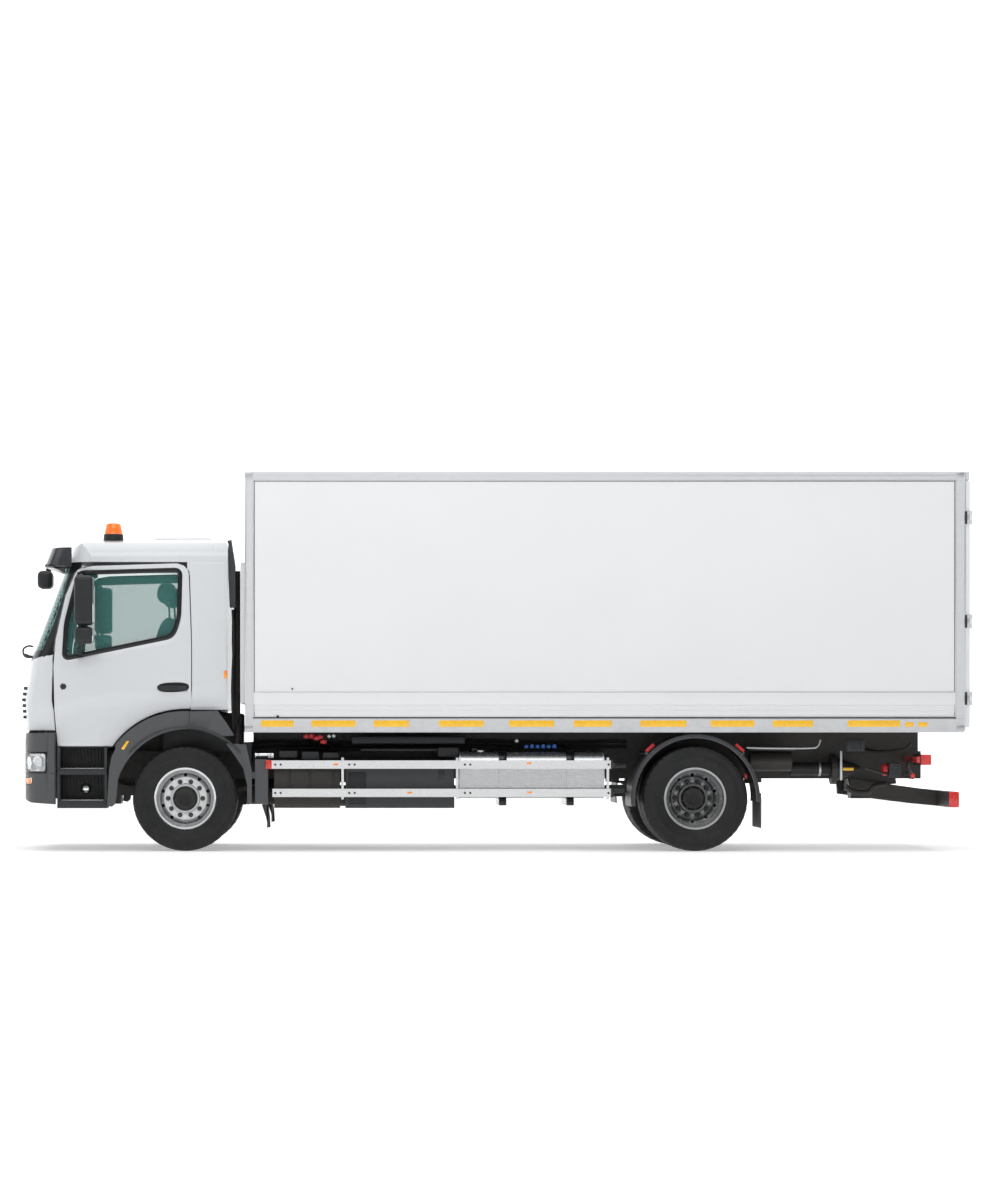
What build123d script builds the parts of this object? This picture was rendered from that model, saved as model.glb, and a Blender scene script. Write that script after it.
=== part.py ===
"""Two-axle box-body mail delivery truck with a tilting cab.

Row frame: +X runs to the rear, +Y to the truck's right, +Z up. The ground is z = 0 and the origin lies
under the middle of the whole truck. Lengths are millimetres. Inside this file x is measured from the
front axle, and save() moves every piece to the row frame.
"""

import math
import os

from build123d import *

os.makedirs("parts", exist_ok=True)

# ---- running gear ----
wheelbase = 4900.0
tyre_radius = 507.0
tyre_width = 312.0
rim_radius = 298.0
bead_radius = 286.0
stud_circle = 335.0
stud_count = 10
hub_radius = 138.0
front_track = 2040.0
rear_track = 1804.0
dual_spacing = 348.0
kingpin_offset = 150.0
kingpin_radius = 22.0
spindle_radius = 40.0
flange_radius = 190.0
axle_height = tyre_radius
driveline_height = 560.0

# ---- frame ----
rail_outer = 432.0
rail_depth = 270.0
rail_flange = 80.0
rail_wall = 8.0
rail_top = 960.0
rail_front = -1350.0
rail_setback = 272.0

# ---- cargo box ----
box_front = 577.0
box_length = 6895.0
box_half = 1275.0
box_bottom = 1143.0
box_height = 2497.0
sill_height = 130.0
rail_height = 77.0
post_width = 77.0
panel_wall = 28.0
panel_recess = 7.0
floor_wall = 100.0
door_wall = 46.0
door_gap = 3.0
hinge_radius = 14.0

# ---- cab ----
cab_nose = -1621.0
cab_back = 410.0
cab_half = 1150.0
cab_wall = 70.0
cab_bow = 110.0
cab_corner = 260.0
side_spare = 2.0
skirt_bottom = 1157.0
quarter_bottom = 1362.0
floor_bottom = 1345.0
floor_plate = 50.0
roof_crown = 3055.0
roof_drop = 95.0
panel_gap = 8.0
skin = 25.0
arch_radius = 862.0
arch_gap = 18.0
arch_inner = 668.0
fender_half = 1225.0
tilt_x = -1560.0
tilt_z = 1110.0
pin_radius = 20.0
running_clearance = 0.08
fit_gap = 1.0

# ---- derived places ----
box_top = box_bottom + box_height
box_rear = box_front + box_length
rail_rear = box_rear - rail_setback
door_rear = box_rear + door_gap + door_wall
rear_end = door_rear + 2 * hinge_radius
middle = (rear_end + cab_nose) / 2
rail_bottom = rail_top - rail_depth
rear_axle = wheelbase
sill_top = box_bottom + sill_height
cant = 2784.0
door_top = cant - panel_gap - 2


def save(name, *shapes):
    """Writes one node: every solid of the given shapes, moved to the row frame."""
    solids = [s for shape in shapes for s in shape.solids()]
    moved = [Pos(-middle, 0, 0) * s for s in solids]
    export_step(moved[0] if len(moved) == 1 else Compound(moved), f"parts/{name}.step")


def block(x0, x1, y0, y1, z0, z1):
    """A box between two corners."""
    return Pos((x0 + x1) / 2, (y0 + y1) / 2, (z0 + z1) / 2) * Box(x1 - x0, y1 - y0, z1 - z0)


def prism(face, y0, y1):
    """Extrudes a face drawn in x and z from y0 to y1."""
    return extrude(Plane.XZ.offset(-y1) * face, amount=y1 - y0, dir=(0, -1, 0))


def outline(*points, radius=0.0):
    """A closed polygon in x and z, with every corner rounded where a radius is given."""
    face = Polygon(*points, align=None)
    return fillet(face.vertices(), radius) if radius else face


def rod_y(x, z, radius, y0, y1):
    """A round bar along Y."""
    return Pos(x, (y0 + y1) / 2, z) * Rot(90, 0, 0) * Cylinder(radius, y1 - y0)


def rod_x(y, z, radius, x0, x1):
    """A round bar along X."""
    return Pos((x0 + x1) / 2, y, z) * Rot(0, 90, 0) * Cylinder(radius, x1 - x0)


def rod_z(x, y, radius, z0, z1):
    """An upright round bar."""
    return Pos(x, y, (z0 + z1) / 2) * Cylinder(radius, z1 - z0)


def other_side(shape):
    """The same shape on the truck's right side."""
    return mirror(shape, about=Plane.XZ)


def pair(*shapes):
    """The given left shapes with their right twins."""
    return [*shapes, *(other_side(s) for s in shapes)]


# ---- frame rails and crossmembers ----
def frame_rail():
    web = block(rail_front, rail_rear, -rail_outer, -rail_outer + rail_wall, rail_bottom, rail_top)
    low = block(rail_front, rail_rear, -rail_outer, -rail_outer + rail_flange, rail_bottom,
        rail_bottom + rail_wall)
    high = block(rail_front, rail_rear, -rail_outer, -rail_outer + rail_flange, rail_top - rail_wall,
        rail_top)
    return web + low + high


def crossmembers():
    """Tubes and channels between the rails, and the supports for bumper and cab."""
    inner = rail_outer - rail_wall
    stations = (950, 0.45 * wheelbase, 0.71 * wheelbase, wheelbase - 620, wheelbase + 620, rail_rear - 750)
    mid = (rail_bottom + rail_top) / 2
    beams = [block(x - 40, x + 40, -inner, inner, mid - 60, mid + 60) for x in stations]
    beams.append(block(rail_rear - 60, rail_rear, -inner, inner, rail_bottom + rail_wall,
        rail_top - rail_wall))
    seat = bumper_nose + bumper_wall + 30
    bumper_arm = block(seat + 80, rail_front, -rail_outer, -rail_outer + 60, 700, 800)
    bumper_beam = block(seat, seat + 80, -600, 600, 700, 800)
    lug = block(bumper_nose, seat, -rail_outer, -rail_outer + 60, 700, 800) & bumper_form(bumper_wall)
    bumper_beam += lug
    bumper_beam += other_side(lug)
    post = block(250, 330, -rail_outer, -rail_outer + rail_flange, rail_top, floor_bottom - 75)
    saddle = block(250, 330, -560, 560, floor_bottom - 75, floor_bottom - 30)
    pad = rod_z(290, -430, 45, floor_bottom - 30, floor_bottom - 2)
    return [*beams, *pair(bumper_arm), bumper_beam, *pair(post), saddle, *pair(pad)]


def cab_brackets():
    """Chassis brackets at the nose that carry the cab's tilt pin."""
    arm = outline(
        (rail_front, rail_bottom + 80), (rail_front, rail_top), (tilt_x + 55, tilt_z + 25),
        (tilt_x, tilt_z + 38), (tilt_x - 30, tilt_z), (tilt_x + 10, tilt_z - 60), (rail_front - 70,
            rail_bottom + 80),
    )
    plate = prism(arm, -rail_outer, -rail_outer + 30)
    pin = rod_y(tilt_x, tilt_z, pin_radius, -rail_outer, -rail_outer + 72)
    return pair(plate + pin)


# ---- axles and springs ----
kingpin_y = front_track / 2 - kingpin_offset
spring_y = rail_outer - rail_flange / 2


def front_axle_beam():
    """Forged beam with an upright eye at each end for the kingpin."""
    beam = block(-45, 45, -kingpin_y + 100, kingpin_y - 100, 395, 475)
    beam -= block(-60, 60, -spring_y + 40, spring_y - 40, 460, 500)
    eye = rod_z(0, -kingpin_y, kingpin_radius * 2, 440, 560)
    neck = block(-40, 40, -kingpin_y, -kingpin_y + 110, 445, 525)
    bore = rod_z(0, -kingpin_y, kingpin_radius + running_clearance, 400, 600)
    for end in pair((eye + neck) - bore):
        beam += end
    return beam


def rear_axle_housing():
    """Banjo casing with its tubes, a spindle inside each hub and a pinion nose facing forwards."""
    reach = rear_track / 2 - dual_spacing / 2 - 190
    tube = rod_y(rear_axle, axle_height, 72, -reach, reach)
    spindle = rod_y(rear_axle, axle_height, spindle_radius, -rear_track / 2 - 90, rear_track / 2 + 90)
    banjo = rod_y(rear_axle, axle_height, 215, -130, 130)
    nose = rod_x(0, driveline_height, 105, rear_axle - 420, rear_axle - 100)
    return tube + spindle + banjo + nose


def leaf_spring(x, span, seat):
    """An arched stack of leaves between its hangers, clamped over the axle."""
    top = rail_bottom - 44
    stack = []
    for k, share in enumerate((1.0, 0.82, 0.62)):
        half = span / 2 * share
        low = seat + 20 * (2 - k)
        rise = (top - seat - 40) * share**2
        upper = ThreePointArc((x - half, low + 18 + rise), (x, low + 18), (x + half, low + 18 + rise))
        lower = ThreePointArc((x + half, low + rise), (x, low), (x - half, low + rise))
        ends = [Line(upper @ 1, lower @ 0), Line(lower @ 1, upper @ 0)]
        stack.append(prism(make_face([upper, lower, *ends]), -spring_y - 38, -spring_y + 38))
    clamp = block(x - 70, x + 70, -spring_y - 48, -spring_y + 48, seat - 13, seat)
    ends = [block(e - 35, e + 35, -spring_y - 38, -spring_y + 38, top + 5, rail_bottom)
        for e in (x - span / 2, x + span / 2)]
    return [*stack, clamp, *ends]


def shock(x, lean, low):
    body = Pos(x, -rail_outer - 60, low) * Rot(0, lean, 0) * Pos(0, 0, 120) * Cylinder(42, 240)
    shaft = Pos(x, -rail_outer - 60, low) * Rot(0, lean, 0) * Pos(0, 0, 330) * Cylinder(26, 180)
    eye = Pos(x, -rail_outer - 60, low) * Rot(0, lean, 0) * Pos(0, 0, 444) * Rot(90, 0,
        0) * Cylinder(24, 118)
    return [body, shaft, eye]


def suspension():
    parts = leaf_spring(0, 1500, 488) + leaf_spring(rear_axle, 1400, axle_height + 85)
    dampers = shock(210, 12, 445) + shock(rear_axle + 270, 12, 445)
    return pair(*parts, *dampers)


# ---- wheels ----
def turned(points, y):
    """Turns a closed profile of (offset, radius) points about a wheel's axis at the plane y."""
    face = make_face(Plane.XY * Polyline(*((r, o) for o, r in points), close=True))
    ring = revolve(face, Axis.Y)
    return Pos(0, y, axle_height) * ring


def tyre(x, y):
    """A tyre with bulged walls and two shoulders; its beads meet the rim."""
    half = tyre_width / 2
    inside = bead_radius + fit_gap
    profile = [
        (-half + 52, inside), (-half + 12, inside + 70), (-half, inside + 115), (-half + 6,
            tyre_radius - 55),
        (-half + 26, tyre_radius - 12), (-half + 60, tyre_radius), (half - 60, tyre_radius),
        (half - 26, tyre_radius - 12), (half - 6, tyre_radius - 55), (half, inside + 115), (half - 12,
            inside + 70),
        (half - 52, inside), (half - 72, inside), (half - 40, inside + 90), (half - 45, tyre_radius - 60),
        (half - 80, tyre_radius - 28), (-half + 80, tyre_radius - 28), (-half + 45, tyre_radius - 60),
        (-half + 40, inside + 90), (-half + 72, inside),
    ]
    return Pos(x, 0, 0) * turned(profile, y)


def rim(x, y, dish, edge):
    """A drop-centre rim and its disc.

    dish is the mating face's offset from the rim's middle and edge the radius where the disc meets it.
    """
    half = tyre_width / 2 - 40
    wall = 9.0
    drop = bead_radius - 32
    barrel = [
        (-half - 14, rim_radius), (-half, rim_radius), (-half, bead_radius), (-half + 45, bead_radius - 2),
        (-half + 70, drop), (half - 70, drop), (half - 45, bead_radius - 2), (half, bead_radius),
        (half, rim_radius), (half + 14, rim_radius), (half + 14, bead_radius - wall),
        (half - 50, bead_radius - wall - 2), (half - 75, drop - wall), (-half + 75, drop - wall),
        (-half + 50, bead_radius - wall - 2), (-half - 14, bead_radius - wall),
    ]
    rise = -1 if dish < 0 else 1
    disc = [
        (dish, hub_radius + 2), (dish, 205), (dish - rise * 32, 232), (dish - rise * 60, edge),
        (dish - rise * 74, edge), (dish - rise * 46, 226), (dish - rise * 14, 203),
        (dish - rise * 14, hub_radius + 2),
    ]
    wheel = turned(barrel, y) + turned(disc, y)
    for k in range(stud_count):
        angle = math.radians(360 / stud_count * (k + 0.5))
        centre = (226 * math.cos(angle), axle_height + 226 * math.sin(angle))
        wheel -= rod_y(*centre, 18, *sorted((y + dish + rise * 20, y + dish - rise * 80)))
    return Pos(x, 0, 0) * wheel


def hub(x, y, face, seat, cap, back):
    """A hub with its flange, studs and nuts, given as offsets from the plane y.

    face is the outside of the disc, seat the flange under it, cap the cover's end and back the inner end.
    """
    body = rod_y(x, axle_height, hub_radius, y + cap + 30, y + back)
    cover = rod_y(x, axle_height, 72, y + cap, y + cap + 30)
    flange = rod_y(x, axle_height, flange_radius, y + seat, y + seat + 18)
    bore = rod_y(x, axle_height, spindle_radius + running_clearance, y + cap + 45, y + back + 200)
    solid = (body + cover + flange) - bore
    nuts = []
    for k in range(stud_count):
        angle = math.radians(360 / stud_count * k + 90)
        px = x + stud_circle / 2 * math.cos(angle)
        pz = axle_height + stud_circle / 2 * math.sin(angle)
        nuts.append(rod_y(px, pz, 16, y + face - 34, y + face))
    return solid, nuts


disc_plate = 14.0
front_dish = -62.0


def front_wheel():
    y = -front_track / 2
    solid, nuts = hub(0, y, front_dish, front_dish + disc_plate, front_dish - 66, 60)
    return [rim(0, y, front_dish, bead_radius - 38), solid, *nuts]


def rear_wheels():
    """Two rims back to back on one hub with its brake drum; the outer one is deeply dished."""
    outer = -rear_track / 2 - dual_spacing / 2
    inner = -rear_track / 2 + dual_spacing / 2
    meet = dual_spacing / 2 - fit_gap / 2
    edge = bead_radius - 7
    seat = dual_spacing / 2 + fit_gap / 2 + disc_plate
    solid, nuts = hub(rear_axle, outer, meet - disc_plate, seat, 34, seat + 136)
    drum = rod_y(rear_axle, axle_height, 205, outer + seat + 116, outer + seat + 276)
    drum -= rod_y(rear_axle, axle_height, 185, outer + seat + 131, outer + seat + 280)
    drum -= rod_y(rear_axle, axle_height, spindle_radius + running_clearance, outer, outer + seat + 300)
    return [rim(rear_axle, outer, meet, edge), rim(rear_axle, inner, -meet, edge), solid + drum, *nuts]


def knuckle():
    """Steering knuckle: forks over and under the beam's eye, the kingpin, a stub axle and an arm."""
    y = -kingpin_y
    plate_in = y - 70
    stub = rod_y(0, axle_height, spindle_radius, -front_track / 2 + front_dish - 15, plate_in)
    upper = block(-42, 42, plate_in, y + 35, 562, 610)
    lower = block(-42, 42, plate_in, y + 35, 380, 438)
    web = rod_y(0, axle_height, 150, plate_in - 14, plate_in)
    pin = rod_z(0, y, kingpin_radius, 430, 570)
    arm = block(30, 190, y, y + 30, 390, 425)
    return [stub + upper + lower + web + pin + arm]


def propshaft():
    start, end = 960.0, rear_axle - 425
    tube = rod_x(0, driveline_height, 55, start + 90, end - 60)
    front_joint = rod_x(0, driveline_height, 75, start, start + 90)
    rear_joint = rod_x(0, driveline_height, 75, end - 60, end)
    return [tube + front_joint + rear_joint]


def engine():
    """Engine with its gearbox behind it, between the rails under the cab floor."""
    inner = rail_outer - rail_flange - 12
    block_part = block(-900, 100, -inner, inner, 620, 1180)
    head = block(-850, 50, -220, 220, 1180, floor_bottom - 30)
    sump = block(-820, 0, -250, 250, 520, 620)
    gearbox = block(100, 560, -240, 240, 430, 900) + rod_x(0, driveline_height, 130, 560, 950)
    radiator = block(-1240, -1150, -inner, inner, 560, 1290)
    return [block_part + head + sump, gearbox, radiator]


# ---- side equipment ----
bay_start = 841.0
bay_end = wheelbase - 795.0
bay = bay_end - bay_start
tank_start, tank_length = bay_start + 0.55 * bay, 0.428 * bay
tank_bottom, tank_height = 509.0, 446.0
guard_out = 1235.0


def fuel_tank():
    body = block(tank_start, tank_start + tank_length, -1165, -560, tank_bottom, tank_bottom + tank_height)
    body = fillet(body.edges().filter_by(Axis.X), 110)
    neck = rod_z(tank_start + 210, -1010, 42, tank_bottom + tank_height - 20,
        tank_bottom + tank_height + 14)
    return body + neck


def tank_straps():
    """Bands round the tank, on brackets bolted to the rail."""
    bands = []
    for x in (tank_start + 0.3 * tank_length, tank_start + 0.765 * tank_length):
        top, low = tank_bottom + tank_height, tank_bottom
        ring = block(x - 38, x + 38, -1172, -553, low - 7, top + 7)
        ring = fillet(ring.edges().filter_by(Axis.X), 116)
        hole = block(x - 60, x + 60, -1166, -559, low - 1, top + 1)
        ring -= fillet(hole.edges().filter_by(Axis.X), 110)
        shelf = block(x - 38, x + 38, -1100, -rail_outer, low - 67, low - 7)
        upright = block(x - 38, x + 38, -553, -rail_outer, low - 7, rail_top)
        bands.append(ring + shelf + upright)
    return bands


def exhaust_box():
    silencer = block(bay_start + 15, bay_start + 0.199 * bay, -1130, -rail_outer, 415, 800)
    silencer = fillet(silencer.edges().filter_by(Axis.X), 40)
    stack = rod_z(490, -820, 32, 1010, 2710)
    foot = block(455, 540, -860, -rail_outer, 950, 1010)
    return [silencer, stack, foot]


def battery_box():
    start, end = bay_start + 0.215 * bay, bay_start + 0.536 * bay
    box = block(start, end, -1130, -rail_outer, 415, 815)
    lid = block(start - 10, end + 10, -1140, -rail_outer - 30, 816, 862)
    return [box, lid]


def air_tanks():
    """One air tank behind the rear wheels on the left, two stacked ones on the right."""
    tail = rear_axle + 580
    left = rod_x(-720, 862, 96, tail, tail + 405) + block(tail + 120, tail + 160, -700, -rail_outer,
        845, 880)
    high, low = 740, 500
    start, end = bay_start + 160, bay_start + 0.325 * bay
    mid = (start + end) / 2
    right = rod_x(720, high, 105, start, end) + rod_x(720, low, 105, start, end)
    right += block(mid - 20, mid + 20, rail_outer, 700, high - 15, high + 15)
    right += block(mid - 20, mid + 20, 700, 740, low + 60, high - 60)
    return [left, right]


def side_guards():
    """Two aluminium rails a side on posts that reach the frame."""
    upper = block(bay_start - 62, bay_end, -guard_out, -guard_out + 30, 794, 874)
    lower = block(bay_start, bay_end, -guard_out, -guard_out + 30, 523, 602)
    posts = []
    for x in (bay_start + 0.2027 * bay, tank_start - 33, tank_start + tank_length + 17):
        post = block(x, x + 24, -guard_out + 30, -guard_out + 70, 500, 900)
        arm = block(x, x + 24, -guard_out + 70, -rail_outer, 866, 900)
        posts.append(post + arm)
    return pair(upper, lower, *posts)


def ring_sector(x, inner, outer, first, last, y0, y1):
    """Part of a ring about the axle at x, between two angles in degrees."""
    ring = rod_y(x, axle_height, outer, y0, y1) - rod_y(x, axle_height, inner, y0 - 1, y1 + 1)
    reach = 3 * outer
    fan = [(x, axle_height)]
    steps = 8
    for k in range(steps + 1):
        angle = math.radians(first + (last - first) * k / steps)
        fan.append((x + reach * math.cos(angle), axle_height + reach * math.sin(angle)))
    return ring & prism(outline(*fan), y0 - 5, y1 + 5)


def mudguards():
    """Rear arches in three sections a side, the trim behind each front wheel, and all flaps."""
    rear = []
    for first, last in ((-3, 44.7), (45.3, 134.7), (135.3, 187)):
        sheet = ring_sector(rear_axle, 608, 620, first, last, -1245, -580)
        lip = ring_sector(rear_axle, 580, 620, first, last, -1245, -1235)
        rear.append(sheet + lip)
    stays = []
    for side in (-1, 1):
        x = rear_axle + side * 634 * math.cos(math.radians(43))
        stays.append(rod_y(x, axle_height + 634 * math.sin(math.radians(43)), 14, -1200, -rail_outer))
    trim = prism(outline((395, 1037), (586, 1028), (642, 776), (644, 458), (600, 450), (597, 640),
        (560, 800), (490, 905)), -fender_half, -fender_half + 25)
    support = block(673, 798, -1190, -910, 455, 885)
    bar = block(700, 760, -910, -rail_outer, 790, 850)
    rear_flap = block(rear_axle + 622, rear_axle + 632, -1235, -600, 226, 560)
    front_flap = block(788, 798, -1190, -910, 226, 454)
    trim_arm = block(600, 673, -fender_half + 25, -fender_half + 45, 700, 760) + block(653, 673,
        -fender_half + 45, -910, 700, 760)
    return pair(*rear, *stays, trim, support + bar, trim_arm, rear_flap, front_flap)


# ---- front bumper and lamps ----
bumper_nose = cab_nose + 6
bumper_half = fender_half
bumper_wall = 30.0
bumper_top = skirt_bottom - 19
bumper_end = -1240.0
lamp_low, lamp_high, lamp_end = 752.0, 953.0, -1322.0
lamp_inner = 820.0


def plan(front, half, bow, corner, rear):
    """A plan outline: a bowed front, two rounded corners and straight sides."""
    nose = ThreePointArc((front + bow, -half), (front, 0), (front + bow, half))
    sides = Polyline((front + bow, half), (rear, half), (rear, -half), (front + bow, -half))
    face = make_face([nose, sides])
    return fillet(face.vertices().sort_by(Axis.X)[:2], corner)


def lean(face, z0, z1, shift):
    """Raises a plan outline from z0 to z1 while it moves by shift along X."""
    return Solid.extrude((Pos(0, 0, z0) * face).faces()[0], Vector(shift, 0, z1 - z0))


def bumper_form(inset):
    face = plan(bumper_nose + inset, bumper_half - inset, cab_bow, cab_corner - inset, 200)
    return lean(face, 300, 1300, 0) & block(-2000, bumper_end, -1500, 1500, 300, 1300)


def bumper_profile():
    nose = bumper_nose
    points = [
        (nose + 70, bumper_top), (nose + 17, bumper_top - 77), (nose, 950), (nose, 560), (nose + 25, 510),
        (nose + 135, 468), (bumper_end, 452), (bumper_end, bumper_top),
    ]
    return prism(outline(*points), -1500, 1500)


def lamp_windows(extra):
    """The spaces of headlamps and indicators in the bumper's corners, grown by extra."""
    head = block(-1800, lamp_end + extra, -1300, -lamp_inner + extra, lamp_low - extra, lamp_high + extra)
    blink = block(-1800, -1480 + extra, -1300, -900 + extra, 646 - extra, 706 + extra)
    return pair(head, blink)


def front_bumper():
    shell = (bumper_form(0) & bumper_profile()) - bumper_form(bumper_wall)
    for window in lamp_windows(3):
        shell -= window
    for z in (560, 640):
        shell -= block(-1700, -1400, -700, 700, z, z + 55)
    for notch in pair(block(-1700, -1400, -rail_outer - 12, -rail_outer + 84, tilt_z - 75, tilt_z + 60)):
        shell -= notch
    return shell


def front_lamps():
    form = (bumper_form(2) & bumper_profile()) - bumper_form(bumper_wall)
    return [form & window for window in lamp_windows(0)]


# ---- cab ----
slabs = [
    (1000.0, -1590.0), (1450.0, cab_nose), (1863.0, cab_nose + 62), (2757.0, cab_nose + 404), (3120.0,
        cab_nose + 545),
]


def cab_form(inset):
    """The cab's outer form, or the same form drawn in by inset, without its floor."""
    form = None
    for (z0, x0), (z1, x1) in zip(slabs, slabs[1:]):
        face = plan(x0 + inset, cab_half - inset + side_spare, cab_bow, cab_corner - inset, 2500)
        slab = lean(face, z0, z1, x1 - x0)
        form = slab if form is None else form + slab
    half, top = cab_half - inset, roof_crown - inset
    crown = ThreePointArc((half, top - roof_drop), (0, top), (-half, top - roof_drop))
    base = Polyline((-half, top - roof_drop), (-half, 900), (half, 900), (half, top - roof_drop))
    section = make_face([crown, base])
    section = fillet(section.vertices().sort_by(Axis.Y)[-2:], 170 - inset)
    form &= extrude(Plane.YZ.offset(-2000) * section, amount=cab_back - inset + 2000)
    brow = ThreePointArc((-1300 + inset, 2640), (-1080, 2925 - inset), (-700, 3020 - inset))
    ridge = ThreePointArc((-700, 3020 - inset), (-200, 3053 - inset), (260, 3048 - inset))
    tail = ThreePointArc((260, 3048 - inset), (370 - inset, 3000 - inset),
        (cab_back - inset, 2900 - inset))
    rest = Polyline((cab_back - inset, 2900 - inset), (cab_back - inset, 800), (-1900, 800),
        (-1900, 2640), (-1300 + inset, 2640))
    return form & prism(make_face([brow, ridge, tail, rest]), -1500, 1500)


def door_face():
    """The side door's outline; its lower rear edge follows the wheel arch."""
    arch = ThreePointArc((-683, 1007), (-512, axle_height + math.sqrt(arch_radius**2 - 512**2)),
        (45, axle_height + math.sqrt(arch_radius**2 - 45**2)))
    rest = Polyline(
        arch @ 1, (62, 1672), (62, 1994), (39, door_top - 95), (-15, door_top - 18), (-80, door_top),
        (-880, door_top - 25), (-1000, door_top - 45), (-1060, door_top - 95), (-1155, 2465), (-1251,
            2036),
        (-1272, 1779), (-1262, 1350), (-1230, 1007), arch @ 0,
    )
    return make_face([arch, rest])


def window_face():
    points = [(-1152, 1868), (-1132, 2190), (-1012, 2666), (-60, 2694), (-72, 2240), (-130, 2078)]
    return outline(*points, radius=45)


glass_wall = 6.0
glass_y = -cab_half + 30


def cab_door(wall):
    """Door with a window opening and the slot that the glass drops into."""
    face = door_face()
    leaf = (wall & prism(face, -1300, -900)) & block(-2000, 500, -1300, -cab_half + cab_wall, 0, 3000)
    leaf -= prism(window_face(), -1300, -900)
    slot = 9.0
    leaf -= prism(offset(window_face(), amount=18, kind=Kind.INTERSECTION), glass_y - slot, glass_y + slot)
    pocket = outline((-1185, 1222), (-1185, 1900), (-45, 2110), (-45, 1425))
    leaf -= prism(pocket, glass_y - slot, glass_y + slot)
    leaf -= block(-140, -38, glass_y - slot, glass_y + slot, 1430, 2708)
    return max(leaf.solids(), key=lambda s: s.volume)


def door_handle():
    return block(-250, 20, -cab_half - 32, -cab_half - 14, 1545, 1590) + block(-215, -185,
        -cab_half - 16, -cab_half, 1550, 1585) + block(-30, 0, -cab_half - 16, -cab_half, 1550, 1585)


def door_glass():
    face = offset(window_face(), amount=12, kind=Kind.INTERSECTION)
    return prism(face, glass_y - glass_wall / 2, glass_y + glass_wall / 2)


def cab_shell_parts():
    """Cab walls as separate pressings: front frame, rear wall, roof and floor."""
    outer, inner = cab_form(0), cab_form(cab_wall)
    wall = outer - inner
    gap = prism(offset(door_face(), amount=panel_gap, kind=Kind.INTERSECTION), -1300, -800)
    doorways = pair(gap)
    front = wall & block(-1800, -1000, -1300, 1300, skirt_bottom, cant)
    rear = wall & block(20, 600, -1300, 1300, quarter_bottom, cant)
    roof = wall & block(-1800, 600, -1300, 1300, cant, 3200)
    for way in doorways:
        front -= way
        rear -= way
    front -= screen_hole(0)
    front -= flap_space(panel_gap)
    front = max(front.solids(), key=lambda s: s.volume)
    rear = max(rear.solids(), key=lambda s: s.volume)
    floor = inner & block(-1800, 600, -cab_half + cab_wall + 12, cab_half - cab_wall - 12, floor_bottom,
        floor_bottom + floor_plate)
    dash_wall = inner & block(-1440, -1415, -1040, 1040, floor_bottom + floor_plate, 1600)
    floor = floor + dash_wall
    floor -= block(-2000, -1440, -1300, 1300, 1000, 1700)
    ear = outline(
        (tilt_x - 30, tilt_z - 8), (tilt_x - 18, tilt_z + 32), (-1400, floor_bottom + 5), (-1300,
            floor_bottom + 5),
        (-1300, floor_bottom - 30), (tilt_x + 30, tilt_z - 18), (tilt_x, tilt_z - 32),
    )
    eye = rod_y(tilt_x, tilt_z, pin_radius + running_clearance, -rail_outer, -rail_outer + 100)
    for part in pair(prism(ear, -rail_outer + 36, -rail_outer + 66) - eye):
        floor += part
    return wall, front, rear, roof, floor


def screen_hole(inset):
    """The windscreen's opening, seen from the front."""
    low, high, wide_low, wide_high = 1925 + inset, 2735 - inset, 1010 - inset, 950 - inset
    face = Polygon((-wide_low, low), (wide_low, low), (wide_high, high), (-wide_high, high), align=None)
    face = fillet(face.vertices(), 70)
    return extrude(Plane.YZ.offset(-1800) * face, amount=750)


def windscreen():
    return (cab_form(6) - cab_form(14)) & screen_hole(fit_gap)


flap_low, flap_high, flap_half = 1178.0, 1838.0, 930.0


def flap_space(extra):
    return block(-1800, -1430, -flap_half - extra, flap_half + extra,
        flap_low - extra - 40 * (extra > 0), flap_high + extra)


def grille_flap():
    form = cab_form(0) - cab_form(skin)
    return form & block(-1800, -1430, -flap_half, flap_half, flap_low, flap_high)


def sun_visor():
    """A wrap-round visor standing off the roof's brow on its two cheeks."""
    low, high, nose, slope = 2737.0, 2924.0, -1443.0, 72.0
    half = cab_half + 15
    strip = plan(nose, half, cab_bow, 210, 500) - plan(nose + 8, half - 8, cab_bow, 202, 600)
    profile = outline((-1500, 2788), (-1500, 2911), (-1090, high + 5), (-1090, low - 5))
    band = lean(strip, low, high, slope) & prism(profile, -1300, 1300)
    room = lean(plan(nose + 4, half - 4, cab_bow, 206, 600), low, high, slope)
    for y in (-500, 0, 500):
        band += (room & block(-1450, -1150, y - 8, y + 8, 2800, 2850)) - cab_form(0)
    return band


def beacon():
    """Warning beacon: a round foot and a tapered amber lens on the roof's left side."""
    x, y, foot, height = -716.0, -750.0, 2962.0, 110.0
    base = rod_z(x, y, 98, foot, foot + height) - cab_form(0)
    lens = Pos(x, y, foot + height + 55) * Cone(92, 70, 110)
    return [max(base.solids(), key=lambda s: s.volume), lens]


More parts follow.
